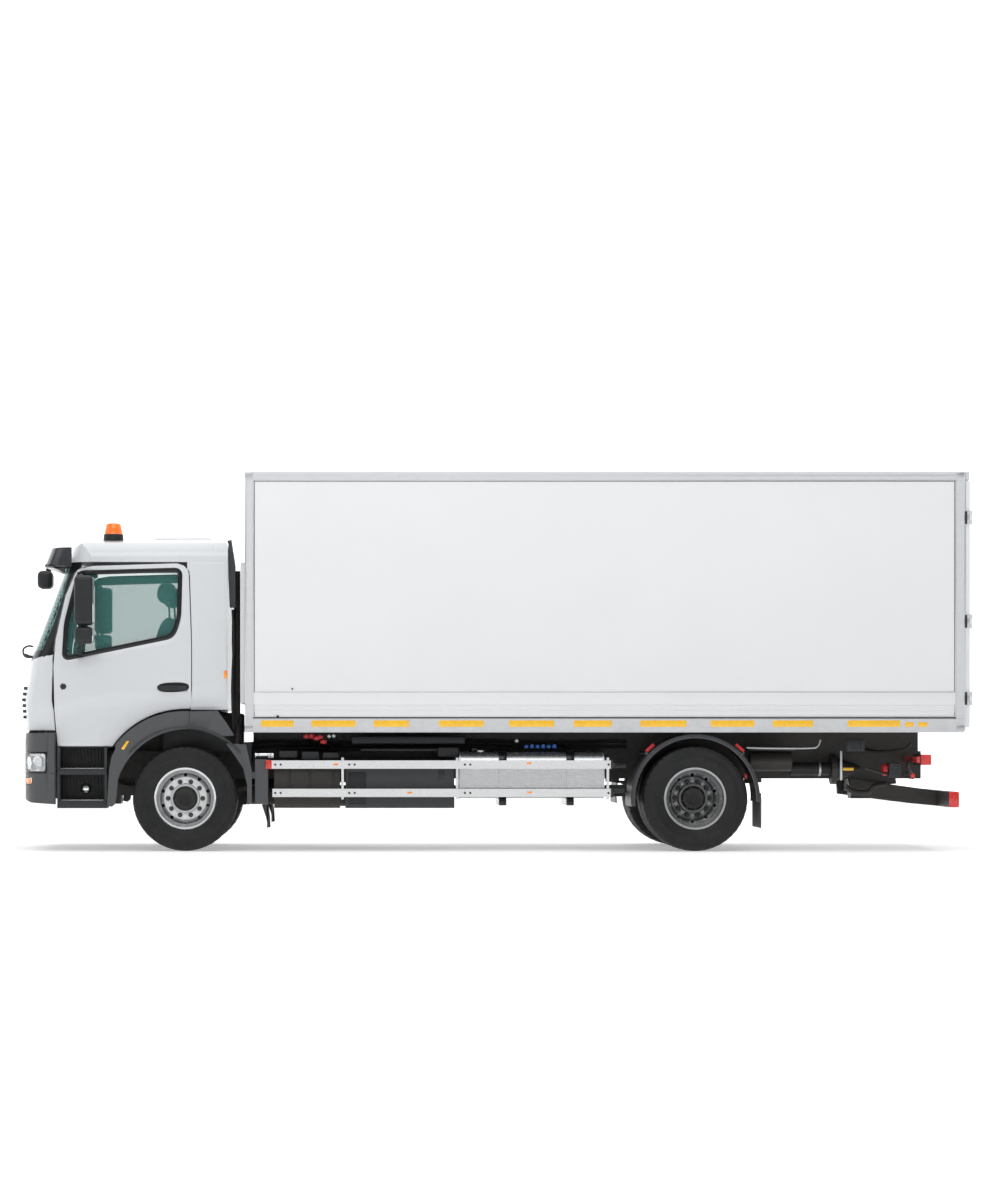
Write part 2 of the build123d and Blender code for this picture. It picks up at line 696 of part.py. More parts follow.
def wheel_arch():
    """Arch trim over the front wheel, fixed to the cab, with the liner behind it."""
    edge = arch_radius - arch_gap
    start = (-664, axle_height + math.sqrt(edge**2 - 664**2))
    crest = (-400, axle_height + math.sqrt(edge**2 - 400**2))
    top = (45, axle_height + math.sqrt(edge**2 - 45**2) - 4)
    outer = ThreePointArc(start, crest, top)
    inner_end = (-640, axle_height + math.sqrt(arch_inner**2 - 640**2))
    inner_start = (342, axle_height + math.sqrt(arch_inner**2 - 342**2) + 22)
    inner = ThreePointArc(inner_start, (0, axle_height + arch_inner), inner_end)
    tail = Polyline(top, (313, 1352), (400, 1234), (474, 1115), inner_start)
    leg = Polyline(
        inner_end, (-655, 540), (-672, 455), (-700, 430), (-746, 440), (-724, 793), (-702, 911),
        (-667, 980), start,
    )
    face = make_face([outer, tail, inner, leg])
    trim = prism(face, -fender_half - 10, -cab_half - 2)
    liner = ring_sector(0, arch_inner, arch_inner + 10, 55, 150, -cab_half - 2, -700)
    hanger = block(-60, 60, -760, -700, axle_height + arch_inner + 5, floor_bottom)
    return trim + liner + hanger


def entry_steps():
    """Step well below each door: two treads between cheeks, with a back wall."""
    x0, x1, y0, y1 = -1226.0, -750.0, -fender_half + 20, -880.0
    body = block(x0, x1, y0, y1, 415, 998)
    body -= block(x0 + 30, x1 - 25, y0 - 1, y1 - 60, 796, 1010)
    body -= block(x0 + 30, x1 - 25, y0 - 1, y1 - 60, 490, 735)
    return body + block(x0 + 60, x0 + 180, y1 - 60, y1 - 20, 990, floor_bottom)


def snorkel():
    """Raised air intake behind the cab's left rear corner."""
    face = outline((400, 2990), (440, 3002), (478, 2760), (482, 2350), (425, 2350), (414, 2650),
        (412, 2960))
    return prism(face, -1060, -900)


def seats():
    """Driver's and co-driver's seats, each a cushion on a base with a backrest and a head restraint."""
    shapes = []
    for y in (-560, 560):
        base = block(-500, -80, y - 190, y + 190, floor_bottom + floor_plate, 1620)
        cushion = fillet(block(-560, -60, y - 250, y + 250, 1622, 1760).edges(), 40)
        back = Pos(-60, y, 1752) * Rot(0, 10, 0) * Pos(0, 0, 330) * Box(120, 480, 650)
        head = Pos(-60, y, 1752) * Rot(0, 10, 0) * Pos(0, 0, 745) * Box(90, 260, 165)
        shapes += [base, cushion, fillet(back.edges(), 35) - cushion, fillet(head.edges(), 35)]
    return shapes


wheel_place = (-800.0, -560.0, 2000.0)
wheel_tilt = 35.0
column_radius = 24.0


def on_column(shape):
    """Places a shape drawn about the Z axis on the steering column."""
    return Pos(*wheel_place) * Rot(0, wheel_tilt, 0) * shape


def dashboard():
    """Full-width dashboard with the steering column's tube."""
    face = outline((-1412, 1602), (-1412, 1900), (-1180, 1930), (-1080, 1850), (-1120, 1640),
        (-1200, 1602))
    panel = prism(face, -980, 980) & cab_form(cab_wall + 20)
    tube = on_column(Pos(0, 0, -330) * Cylinder(column_radius + 12, 380))
    bore = on_column(Pos(0, 0, -230) * Cylinder(column_radius + running_clearance, 240))
    return (panel + tube) - bore


def steering_wheel():
    """Rim, three spokes and a boss, with a shaft inside the column's tube."""
    wheel = Torus(225, 17) + Box(40, 430, 14) + Pos(-107, 0, 0) * Box(215, 40, 14)
    wheel += Pos(0, 0, -20) * Cylinder(70, 60)
    wheel += Pos(0, 0, -180) * Cylinder(column_radius, 320)
    return on_column(wheel)


mirror_x, mirror_y = -1010.0, -cab_half - 30
mirror_low, mirror_high = 1880.0, 2664.0
mirror_pin = 10.0
foot_wall = 16.0


def mirror_arm():
    """Door mirror: a pivot tube with two arms, the main head and the wide-angle head."""
    x, y = mirror_x, mirror_y
    body = rod_z(x, y, 14, mirror_low, mirror_high)
    body += rod_z(x, y, mirror_pin, mirror_low - foot_wall, mirror_high + foot_wall)
    body += block(x - 20, x + 20, y - 200, y, 2636, 2660)
    body += block(x - 20, x + 20, y - 200, y, 1930, 1965)
    body += fillet(block(-1048, -855, y - 280, y - 45, 2166, 2640).edges(), 22)
    body += fillet(block(-1044, -862, y - 270, y - 45, 1990, 2154).edges(), 18)
    body += block(x - 14, x + 14, y - 180, y - 150, 1950, 2180)
    return body


def mirror_feet():
    """Door-side brackets with a bore for each of the mirror's two pins."""
    feet = []
    for z in (mirror_low - foot_wall - 2, mirror_high + 2):
        foot = block(mirror_x - 25, mirror_x + 25, mirror_y - 20, -cab_half, z, z + foot_wall)
        feet.append(foot - rod_z(mirror_x, mirror_y, mirror_pin + running_clearance, z - 5,
            z + foot_wall + 5))
    return feet


wiper_pivots = (-720.0, 60.0)
wiper_length = 700.0


def wiper(y):
    """One wiper parked along the windscreen's foot: spindle, arm and blade."""
    x, z = wiper_axis_point()
    spindle = Cylinder(16, 40)
    arm = Pos(0, wiper_length / 2, 12) * Box(22, wiper_length, 10)
    blade = Pos(0, wiper_length / 2 + 60, 2) * Box(14, wiper_length - 120, 10)
    tilt = math.degrees(math.atan2(404 - 62, 2757 - 1863))
    return Pos(x, y, z) * Rot(0, -90 + tilt, 0) * (spindle + arm + blade)


def wiper_axis_point():
    """Where the wiper axes stand: just ahead of the windscreen's foot at the middle."""
    z = 1893.0
    front = slabs[2][1] + (slabs[3][1] - slabs[2][1]) * (z - slabs[2][0]) / (slabs[3][0] - slabs[2][0])
    return front - 22, z


# ---- rear end ----
bar_low, bar_high = 424.0, 572.0
bar_front, bar_rear = box_rear - 127, box_rear - 36


def underrun_guard():
    """Rear underrun bar on two sloping arms hung from the frame."""
    beam = block(bar_front, bar_rear, -1180, 1180, bar_low, bar_high)
    x = bar_front
    arm = outline((x - 845, 690), (x - 299, 613), (x, bar_high), (x, bar_low), (x - 284, 451),
        (x - 838, 525))
    hanger = outline((x - 925, rail_top - 20), (x - 445, rail_top - 20), (x - 385, 640), (x - 845, 600))
    arms = pair(prism(arm, -rail_outer - 62, -rail_outer - 2)
        + prism(hanger, -rail_outer - 14, -rail_outer))
    return [beam, *arms]


def tow_coupling():
    """Drawbar jaw low between the rails, on its beam, with the cylinder and cone beside it."""
    x, y, z = rear_axle + 990, -640.0, 787.0
    tube = rod_x(y, z, 62, x, x + 390)
    flange = rod_x(y, z, 150, x + 390, x + 440)
    cone = Pos(x + 560, y, z) * Rot(0, 90, 0) * Cone(118, 30, 240)
    bracket = block(x + 395, x + 435, y, -rail_outer, z - 40, z + 40)
    at = rail_rear - 640
    beam = block(at, at + 80, -rail_outer + 2, rail_outer - 2, 560, 680)
    beam += block(at, at + 80, -110, 110, 490, 680)
    for plate in pair(block(at, at + 80, -rail_outer + 2, -rail_outer + 14, 600, rail_bottom)):
        beam += plate
    jaw = block(at + 80, at + 340, -110, 110, 580, 620) + block(at + 80, at + 340, -110, 110, 490, 530)
    jaw += block(at + 80, at + 140, -110, 110, 490, 680)
    jaw -= rod_z(at + 270, 0, coupling_bore, 480, 630)
    return [tube + flange + cone + bracket, beam + jaw]


coupling_bore = 20.5


def tail_lamps():
    lamp = fillet(block(rail_rear - 127, rail_rear - 22, -1150, -760, 829,
        930).edges().filter_by(Axis.Y), 12)
    carrier = block(rail_rear - 160, rail_rear - 128, -1150, -rail_outer, 850, 910)
    return pair(lamp, carrier)


# ---- cargo box ----
def box_frame():
    """Aluminium sections: side sills, top rails, corner posts, the rear portal and its hinge leaves."""
    y0, y1 = -box_half, -box_half + 60
    sill = block(box_front + post_width, box_rear - post_width, y0, y1, box_bottom, sill_top)
    rail = block(box_front + post_width, box_rear - post_width, y0, y1, box_top - rail_height, box_top)
    front_post = block(box_front, box_front + post_width, y0, y1, box_bottom, box_top)
    rear_post = block(box_rear - post_width, box_rear, y0, y1, box_bottom, box_top)
    head = block(box_rear - post_width, box_rear, y1, -y1, box_top - 110, box_top)
    cap = block(box_rear, door_rear, -box_half, box_half, door_high + 6, box_top)
    front_head = block(box_front, box_front + 60, y1, -y1, box_top - rail_height, box_top)
    leaves = []
    for z in hinge_heights:
        for side in (-1, 1):
            low, high = sorted((z + side * 24, z + side * hinge_half))
            plate = block(box_rear - 60, hinge_x, -box_half - 6, -box_half, low, high)
            barrel = rod_z(hinge_x, hinge_y, hinge_radius, low, high)
            leaves.append(plate + barrel - rod_z(hinge_x, hinge_y, 6 + running_clearance, low - 1,
                high + 1))
    return [*pair(sill, rail, front_post, rear_post), head, cap, front_head, *pair(*leaves)]


hinge_heights = (1468.0, 2207.0, 3201.0)
hinge_half = 67.0
hinge_x = door_rear + hinge_radius
hinge_y = -box_half - 6.0
door_low, door_high = 1190.0, 3556.0
rod_place = -230.0
rod_radius = 12.0


def box_floor():
    """Load floor with its cross-bearers and the two runners on the rails."""
    plate = block(box_front + 60, box_rear - 2, -box_half + 60, box_half - 60, sill_top - floor_wall,
        sill_top)
    runners = pair(block(box_front + 60, box_rear - 300, -rail_outer, -rail_outer + rail_flange,
        rail_top, box_bottom))
    bearers = []
    for x in range(int(box_front) + 300, int(box_rear) - 200, 700):
        bearers.append(block(x, x + 60, -box_half + 61, box_half - 61, box_bottom, sill_top - floor_wall))
    return [plate, *runners, *bearers]


def box_front_wall():
    wall = block(box_front + 60 - panel_wall, box_front + 60, -box_half + 60, box_half - 60, box_bottom,
        box_top - rail_height)
    stiffener = block(box_front - 42, box_front + 60 - panel_wall, -1130, 1130, 1426, 2775)
    return [wall, stiffener]


def box_side():
    y = -box_half + panel_recess
    return block(box_front + post_width, box_rear - post_width, y, y + panel_wall, sill_top,
        box_top - rail_height)


def box_roof():
    return block(box_front + 60, box_rear - post_width, -box_half + 60, box_half - 60, box_top - 40,
        box_top - 4)


def rear_door():
    """One leaf with its seal, hinge straps and rod guides."""
    leaf = block(box_rear + door_gap, door_rear, -box_half + 7, -2, door_low, door_high)
    straps = []
    for z in hinge_heights:
        strap = block(door_rear, door_rear + 6, hinge_y + hinge_radius + 6, hinge_y + 230,
            z - hinge_half, z + hinge_half)
        tongue = block(door_rear, door_rear + 6, hinge_y + 8, hinge_y + hinge_radius + 6, z - 23, z + 23)
        barrel = rod_z(hinge_x, hinge_y, hinge_radius, z - 23, z + 23)
        pin = rod_z(hinge_x, hinge_y, 6, z - hinge_half, z + hinge_half)
        straps.append(strap + tongue + barrel + pin)
    guides = []
    for z in (1300, 2350, 3440):
        guide = block(door_rear, door_rear + 2 * hinge_radius - 1, rod_place - 30, rod_place + 30,
            z - 20, z + 20)
        guides.append(guide - rod_z(rod_x_place, rod_place, rod_radius + 0.1, z - 30, z + 30))
    return [leaf, *straps, *guides]


rod_x_place = door_rear + hinge_radius


def lock_rod():
    """Upright lock rod with its end cams and its handle."""
    rod = rod_z(rod_x_place, rod_place, rod_radius, door_low + 10, door_high + 30)
    handle = block(rod_x_place - 6, rod_x_place + 8, rod_place - 420, rod_place, 1735, 1765)
    cam = block(rod_x_place - 8, rod_x_place + 8, rod_place - 34, rod_place, door_high + 8, door_high + 30)
    return rod + handle + cam


def build():
    save("frame_rails", *pair(frame_rail()))
    save("crossmembers", *crossmembers(), *cab_brackets())
    save("front_axle_beam", front_axle_beam())
    save("rear_axle_housing", rear_axle_housing())
    save("suspension", *suspension())
    save("engine", *engine())
    save("exhaust_system", *exhaust_box())
    save("fuel_tank", fuel_tank(), *tank_straps())
    save("battery_box", *battery_box())
    save("air_tanks", *air_tanks())
    save("side_guards", *side_guards())
    save("mudguards", *mudguards())
    save("front_bumper", front_bumper())
    save("front_lamps", *front_lamps())
    save("underrun_guard", *underrun_guard())
    save("tow_coupling", *tow_coupling())
    save("tail_lamps", *tail_lamps())
    save("box_floor", *box_floor())
    save("box_front_wall", *box_front_wall())
    save("box_side_left", box_side())
    save("box_side_right", other_side(box_side()))
    save("box_roof", box_roof())
    save("box_frame", *box_frame())

    wall, front, rear, roof, floor = cab_shell_parts()
    save("cab_front", front)
    save("cab_rear_wall", rear)
    save("cab_roof", roof)
    save("cab_floor", floor)
    save("windscreen", windscreen())
    save("grille_flap", grille_flap())
    save("sun_visor", sun_visor())
    save("beacon", *beacon())
    save("wheel_arches", *pair(wheel_arch()))
    save("entry_steps", *pair(entry_steps()))
    save("snorkel", snorkel())
    save("seats", *seats())
    save("dashboard", dashboard())
    save("steering_wheel", steering_wheel())

    door = [cab_door(wall), door_handle(), *mirror_feet()]
    left = {
        "cab_door": door,
        "door_window": [door_glass()],
        "door_mirror": [mirror_arm()],
        "steering_knuckle": knuckle(),
        "front_wheel": front_wheel(),
        "front_tyre": [tyre(0, -front_track / 2)],
        "rear_wheels": rear_wheels(),
        "rear_tyres": [tyre(rear_axle, -(rear_track + side * dual_spacing) / 2) for side in (1, -1)],
        "rear_door": rear_door(),
        "lock_rod": [lock_rod()],
    }
    for name, shapes in left.items():
        save(f"{name}_left", *shapes)
        save(f"{name}_right", *(other_side(s) for s in shapes))
    save("wiper_left", wiper(wiper_pivots[0]))
    save("wiper_right", wiper(wiper_pivots[1]))
    save("propshaft", *propshaft())


build()
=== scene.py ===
from math import asin, atan2, copysign, cos, exp, pi, radians, sin

import bmesh
import bpy
import numpy as np
from mathutils import Matrix, Vector, geometry


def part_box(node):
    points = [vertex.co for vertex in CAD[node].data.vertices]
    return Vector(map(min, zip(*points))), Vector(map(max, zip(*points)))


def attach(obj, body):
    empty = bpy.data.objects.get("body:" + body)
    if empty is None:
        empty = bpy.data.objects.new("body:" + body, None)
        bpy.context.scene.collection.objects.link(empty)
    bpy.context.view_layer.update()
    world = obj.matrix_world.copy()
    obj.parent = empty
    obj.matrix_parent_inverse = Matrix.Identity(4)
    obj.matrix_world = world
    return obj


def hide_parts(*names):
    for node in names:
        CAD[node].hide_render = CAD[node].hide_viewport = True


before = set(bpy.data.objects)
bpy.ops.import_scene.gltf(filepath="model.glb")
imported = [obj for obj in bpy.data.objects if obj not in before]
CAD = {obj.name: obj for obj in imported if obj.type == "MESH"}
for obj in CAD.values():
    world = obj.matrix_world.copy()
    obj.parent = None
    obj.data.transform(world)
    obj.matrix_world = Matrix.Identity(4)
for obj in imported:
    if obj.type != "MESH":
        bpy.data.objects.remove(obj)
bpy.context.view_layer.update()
MID = 2964.0  # millimetres from the front axle to the row frame's origin
SIDES = (("left", False), ("right", True))  # each side's name, and whether its pieces are mirrored
REAR_AXLE, AXLE_Z = 4900, 507  # the rear axle's distance behind the front one, and the height of both
CAB_HALF, CORNER, SETBACK = 1150, 260, 330.5  # the cab's half width, corner radius, and nose to corner start
TURN, BOW = 1.4137, 8.51e-5  # the corner's angle in radians, and how strongly the cab's front is bowed
ARC, BEND = 367.6, 930.7  # the corner's length along its arc, and the half width where the bowed front begins
ALONG = 0.992  # how far the bowed front runs sideways for each millimetre along it


def P(x, y, z):
    """A place given in millimetres from the front axle, in the row frame's metres."""
    return Vector(((x - MID) / 1000, y / 1000, z / 1000))


# ------------------------------------------------------------------ materials
def shader(name):
    """A new material with its node tree and Principled node."""
    m = bpy.data.materials.new(name)
    m.use_nodes = True
    nt = m.node_tree
    return m, nt, nt.nodes["Principled BSDF"]


def link(nt, a, b):
    nt.links.new(a, b)


def coords(nt, stretch=None):
    """Object coordinates, scaled by stretch where one is given."""
    tc = nt.nodes.new("ShaderNodeTexCoord")
    if stretch is None:
        return tc.outputs["Object"]
    mp = nt.nodes.new("ShaderNodeMapping")
    mp.inputs["Scale"].default_value = stretch
    link(nt, tc.outputs["Object"], mp.inputs["Vector"])
    return mp.outputs["Vector"]


def noise(nt, vec, scale, detail=4.0, rough=0.6):
    n = nt.nodes.new("ShaderNodeTexNoise")
    n.inputs["Scale"].default_value = scale
    n.inputs["Detail"].default_value = detail
    n.inputs["Roughness"].default_value = rough
    link(nt, vec, n.inputs["Vector"])
    return n.outputs["Fac"]


def remap(nt, value, a, b, c, d):
    r = nt.nodes.new("ShaderNodeMapRange")
    for k, v in enumerate((a, b, c, d)):
        r.inputs[k + 1].default_value = v
    link(nt, value, r.inputs[0])
    return r.outputs[0]


def blend_color(nt, fac, a, b):
    m = nt.nodes.new("ShaderNodeMix")
    m.data_type = "RGBA"
    link(nt, fac, m.inputs[0])
    for value, socket in ((a, m.inputs[6]), (b, m.inputs[7])):
        if isinstance(value, tuple):
            socket.default_value = (*value, 1)
        else:
            link(nt, value, socket)
    return m.outputs[2]


def make(name, color, other=None, rough=0.5, spread=0.06, metal=0.0, blot=4.0, grain=500.0, bump=0.0,
         coat=0.0, stretch=None, wear=None, dirt=None, alpha=1.0, glow=0.0, sheen=0.0, waves=0.0, spec=0.5):
    """A procedural finish: blotches between two colours, fine grain, worn edges and road dirt low down."""
    m, nt, b = shader(name)
    other = other or tuple(c * 0.86 for c in color)
    vec = coords(nt, stretch)
    plain = coords(nt)
    col = blend_color(nt, remap(nt, noise(nt, vec, blot, 5), 0.35, 0.7, 0, 1), color, other)
    if dirt:
        sep = nt.nodes.new("ShaderNodeSeparateXYZ")
        link(nt, plain, sep.inputs[0])
        high = remap(nt, sep.outputs["Z"], dirt[0], dirt[1], 1, 0)
        mul = nt.nodes.new("ShaderNodeMath")
        mul.operation = "MULTIPLY"
        link(nt, high, mul.inputs[0])
        link(nt, remap(nt, noise(nt, plain, 7, 6, 0.7), 0.3, 0.75, 0, dirt[2]), mul.inputs[1])
        col = blend_color(nt, mul.outputs[0], col, (0.2, 0.18, 0.15))
    if wear:
        geo = nt.nodes.new("ShaderNodeNewGeometry")
        col = blend_color(nt, remap(nt, geo.outputs["Pointiness"], 0.52, 0.62, 0, 0.75), col, wear)
    link(nt, col, b.inputs["Base Color"])
    b.inputs["Metallic"].default_value = metal
    link(nt, remap(nt, noise(nt, vec, blot * 2.7, 4), 0.3, 0.7, rough - spread, rough + spread),
         b.inputs["Roughness"])
    if bump or waves:
        bp = nt.nodes.new("ShaderNodeBump")
        bp.inputs["Strength"].default_value = 0.6
        bp.inputs["Distance"].default_value = bump or 0.0004
        link(nt, noise(nt, vec, grain, 2), bp.inputs["Height"])
        if waves:
            big = nt.nodes.new("ShaderNodeBump")
            big.inputs["Strength"].default_value = 1.0
            big.inputs["Distance"].default_value = waves
            link(nt, noise(nt, plain, 1.6, 1), big.inputs["Height"])
            link(nt, big.outputs[0], bp.inputs["Normal"])
        link(nt, bp.outputs[0], b.inputs["Normal"])
    b.inputs["Coat Weight"].default_value = coat
    b.inputs["Specular IOR Level"].default_value = spec
    b.inputs["Coat Roughness"].default_value = 0.06
    if sheen:
        b.inputs["Sheen Weight"].default_value = sheen
    if alpha < 1:
        b.inputs["Alpha"].default_value = alpha
    if glow:
        b.inputs["Emission Color"].default_value = (*color, 1)
        b.inputs["Emission Strength"].default_value = glow
    return m


WHITE = make("cab_white", (0.64, 0.655, 0.675), (0.625, 0.64, 0.66), rough=0.3, spread=0.03, coat=0.5,
             grain=900, bump=0.00002, blot=1.2, dirt=(1.2, 1.7, 0.05))
PANEL = make("box_white", (0.775, 0.78, 0.785), (0.76, 0.765, 0.772), rough=0.42, spread=0.05, coat=0.15,
             grain=1200, bump=0.00003, blot=0.9, waves=0.0004, dirt=(1.2, 1.9, 0.05))
TRIM = make("box_alu", (0.5, 0.51, 0.53), (0.42, 0.43, 0.45), rough=0.34, metal=0.85, stretch=(1, 14, 14),
            blot=9, grain=300, bump=0.00005, wear=(0.8, 0.8, 0.8), dirt=(1.1, 1.4, 0.25))
SILL = make("sill_alu", (0.66, 0.67, 0.685), (0.60, 0.61, 0.625), rough=0.4, metal=0.25,
            stretch=(1, 20, 20), blot=6, grain=300, bump=0.00005, dirt=(1.12, 1.35, 0.3))
ALU = make("alu", (0.58, 0.59, 0.6), (0.48, 0.49, 0.5), rough=0.3, metal=0.9, stretch=(1, 30, 30), blot=7,
           grain=260, bump=0.00006, wear=(0.85, 0.85, 0.85), dirt=(0.2, 0.8, 0.3))
TANK = make("tank_alu", (0.6, 0.61, 0.62), (0.5, 0.51, 0.52), rough=0.26, metal=0.92, stretch=(2, 22, 22),
            blot=5, grain=220, bump=0.00005, dirt=(0.35, 0.85, 0.3), waves=0.0008)
DARK = make("dark_plastic", (0.016, 0.0175, 0.0195), (0.011, 0.012, 0.0135), rough=0.46, spread=0.08,
            grain=1500, bump=0.00015, wear=(0.06, 0.062, 0.065), dirt=(0.2, 0.95, 0.07), spec=0.35)
GREY = make("grey_plastic", (0.033, 0.037, 0.042), (0.024, 0.027, 0.031), rough=0.4, spread=0.07,
            grain=1500, bump=0.00014, wear=(0.09, 0.092, 0.096), dirt=(0.3, 1.0, 0.08), spec=0.4)
BLACK = make("gloss_black", (0.006, 0.0065, 0.0075), (0.01, 0.0105, 0.0115), rough=0.22, spread=0.05,
             coat=0.12, blot=6, spec=0.35)
CHASSIS = make("chassis_paint", (0.011, 0.0115, 0.0125), (0.019, 0.018, 0.0165), rough=0.46, spread=0.12,
               blot=9, grain=350, bump=0.0003, wear=(0.05, 0.046, 0.042), dirt=(0.2, 1.1, 0.09),
               spec=0.35)
CAST = make("cast_metal", (0.02, 0.02, 0.021), (0.036, 0.03, 0.025), rough=0.6, spread=0.12, metal=0.4,
            blot=11, grain=420, bump=0.0006, wear=(0.09, 0.085, 0.08), dirt=(0.1, 1.0, 0.1), spec=0.35)
STEEL = make("zinc_steel", (0.5, 0.51, 0.52), (0.38, 0.39, 0.4), rough=0.38, metal=0.9, blot=26,
             grain=120, bump=0.00015, wear=(0.75, 0.75, 0.75), dirt=(0.2, 1.0, 0.3))
SILVER = make("wheel_silver", (0.62, 0.63, 0.645), (0.5, 0.51, 0.52), rough=0.33, metal=0.75, blot=14,
              grain=500, bump=0.00012, wear=(0.85, 0.85, 0.85), dirt=(0.2, 0.9, 0.3))
BRIGHT = make("bright_metal", (0.83, 0.84, 0.85), (0.7, 0.71, 0.72), rough=0.16, spread=0.05, metal=1.0,
              blot=20, grain=300, bump=0.00004)
WHEELGREY = make("wheel_grey", (0.15, 0.156, 0.163), (0.105, 0.11, 0.115), rough=0.42, metal=0.45,
                 blot=16, grain=420, bump=0.0002, wear=(0.5, 0.5, 0.5), dirt=(0.2, 0.9, 0.35))
HUBBLACK = make("hub_black", (0.012, 0.0125, 0.0135), (0.022, 0.02, 0.018), rough=0.38, spread=0.1,
                metal=0.3, blot=18, grain=500, bump=0.0003, wear=(0.08, 0.078, 0.075), spec=0.4)
TYRE = make("tyre_rubber", (0.0095, 0.01, 0.011), (0.016, 0.0158, 0.0155), rough=0.55, spread=0.08,
            blot=8, grain=700, bump=0.0003, wear=(0.03, 0.029, 0.028), dirt=(0.0, 0.25, 0.08), spec=0.3)
SEAL = make("seal_rubber", (0.012, 0.012, 0.013), (0.022, 0.022, 0.023), rough=0.5, grain=900, bump=0.0001)
YELLOW = make("reflective_yellow", (0.95, 0.55, 0.02), (0.88, 0.47, 0.02), rough=0.3, coat=0.5, grain=260,
              bump=0.00012, blot=12)
RED = make("reflective_red", (0.72, 0.03, 0.02), (0.55, 0.02, 0.015), rough=0.25, coat=0.5, grain=260,
           bump=0.00015, blot=14)
REDPLASTIC = make("red_fitting", (0.6, 0.02, 0.03), (0.45, 0.015, 0.02), rough=0.35, blot=30, grain=600,
                  bump=0.0001)
BLUE = make("blue_fitting", (0.03, 0.14, 0.5), (0.02, 0.09, 0.34), rough=0.35, blot=30, grain=600,
            bump=0.0001)
AMBER = make("amber_lens", (1.0, 0.2, 0.005), (0.8, 0.09, 0.002), rough=0.12, coat=0.8, blot=9, glow=0.22)
ORANGE = make("orange_lens", (1.0, 0.3, 0.02), (0.8, 0.2, 0.01), rough=0.15, coat=0.8, blot=18, glow=0.12)
LENS = make("clear_lens", (0.9, 0.93, 0.95), (0.85, 0.88, 0.9), rough=0.04, spread=0.02, coat=0.8, blot=5,
            alpha=0.22)
GLASS = make("teal_glass", (0.09, 0.29, 0.26), (0.08, 0.26, 0.235), rough=0.04, spread=0.02, coat=0.4,
             blot=1.5, alpha=0.3)
WRAP = make("screen_edge_glass", (0.09, 0.24, 0.225), (0.05, 0.15, 0.14), rough=0.08, spread=0.03,
            coat=0.6, blot=0.8)
SCREEN = make("screen_glass", (0.06, 0.2, 0.19), (0.05, 0.17, 0.165), rough=0.04, spread=0.02, coat=0.6,
              blot=1.5, alpha=0.55)
SMOKE = make("visor_smoke", (0.02, 0.023, 0.027), (0.03, 0.034, 0.04), rough=0.18, coat=0.6, blot=4,
             alpha=0.93)
MIRROR = make("mirror_glass", (0.75, 0.78, 0.8), (0.72, 0.75, 0.77), rough=0.03, spread=0.01, metal=1.0,
              blot=2)
FABRIC = make("seat_fabric", (0.06, 0.065, 0.075), (0.04, 0.043, 0.05), rough=0.85, sheen=0.35, blot=120,
              grain=1400, bump=0.0005)
INNER = make("cab_trim", (0.16, 0.17, 0.175), (0.13, 0.14, 0.145), rough=0.7, blot=5, grain=1100,
             bump=0.0002)
HOSE = make("pipe_nylon", (0.009, 0.009, 0.0095), (0.016, 0.016, 0.0165), rough=0.45, blot=20, grain=500,
            bump=0.0002)


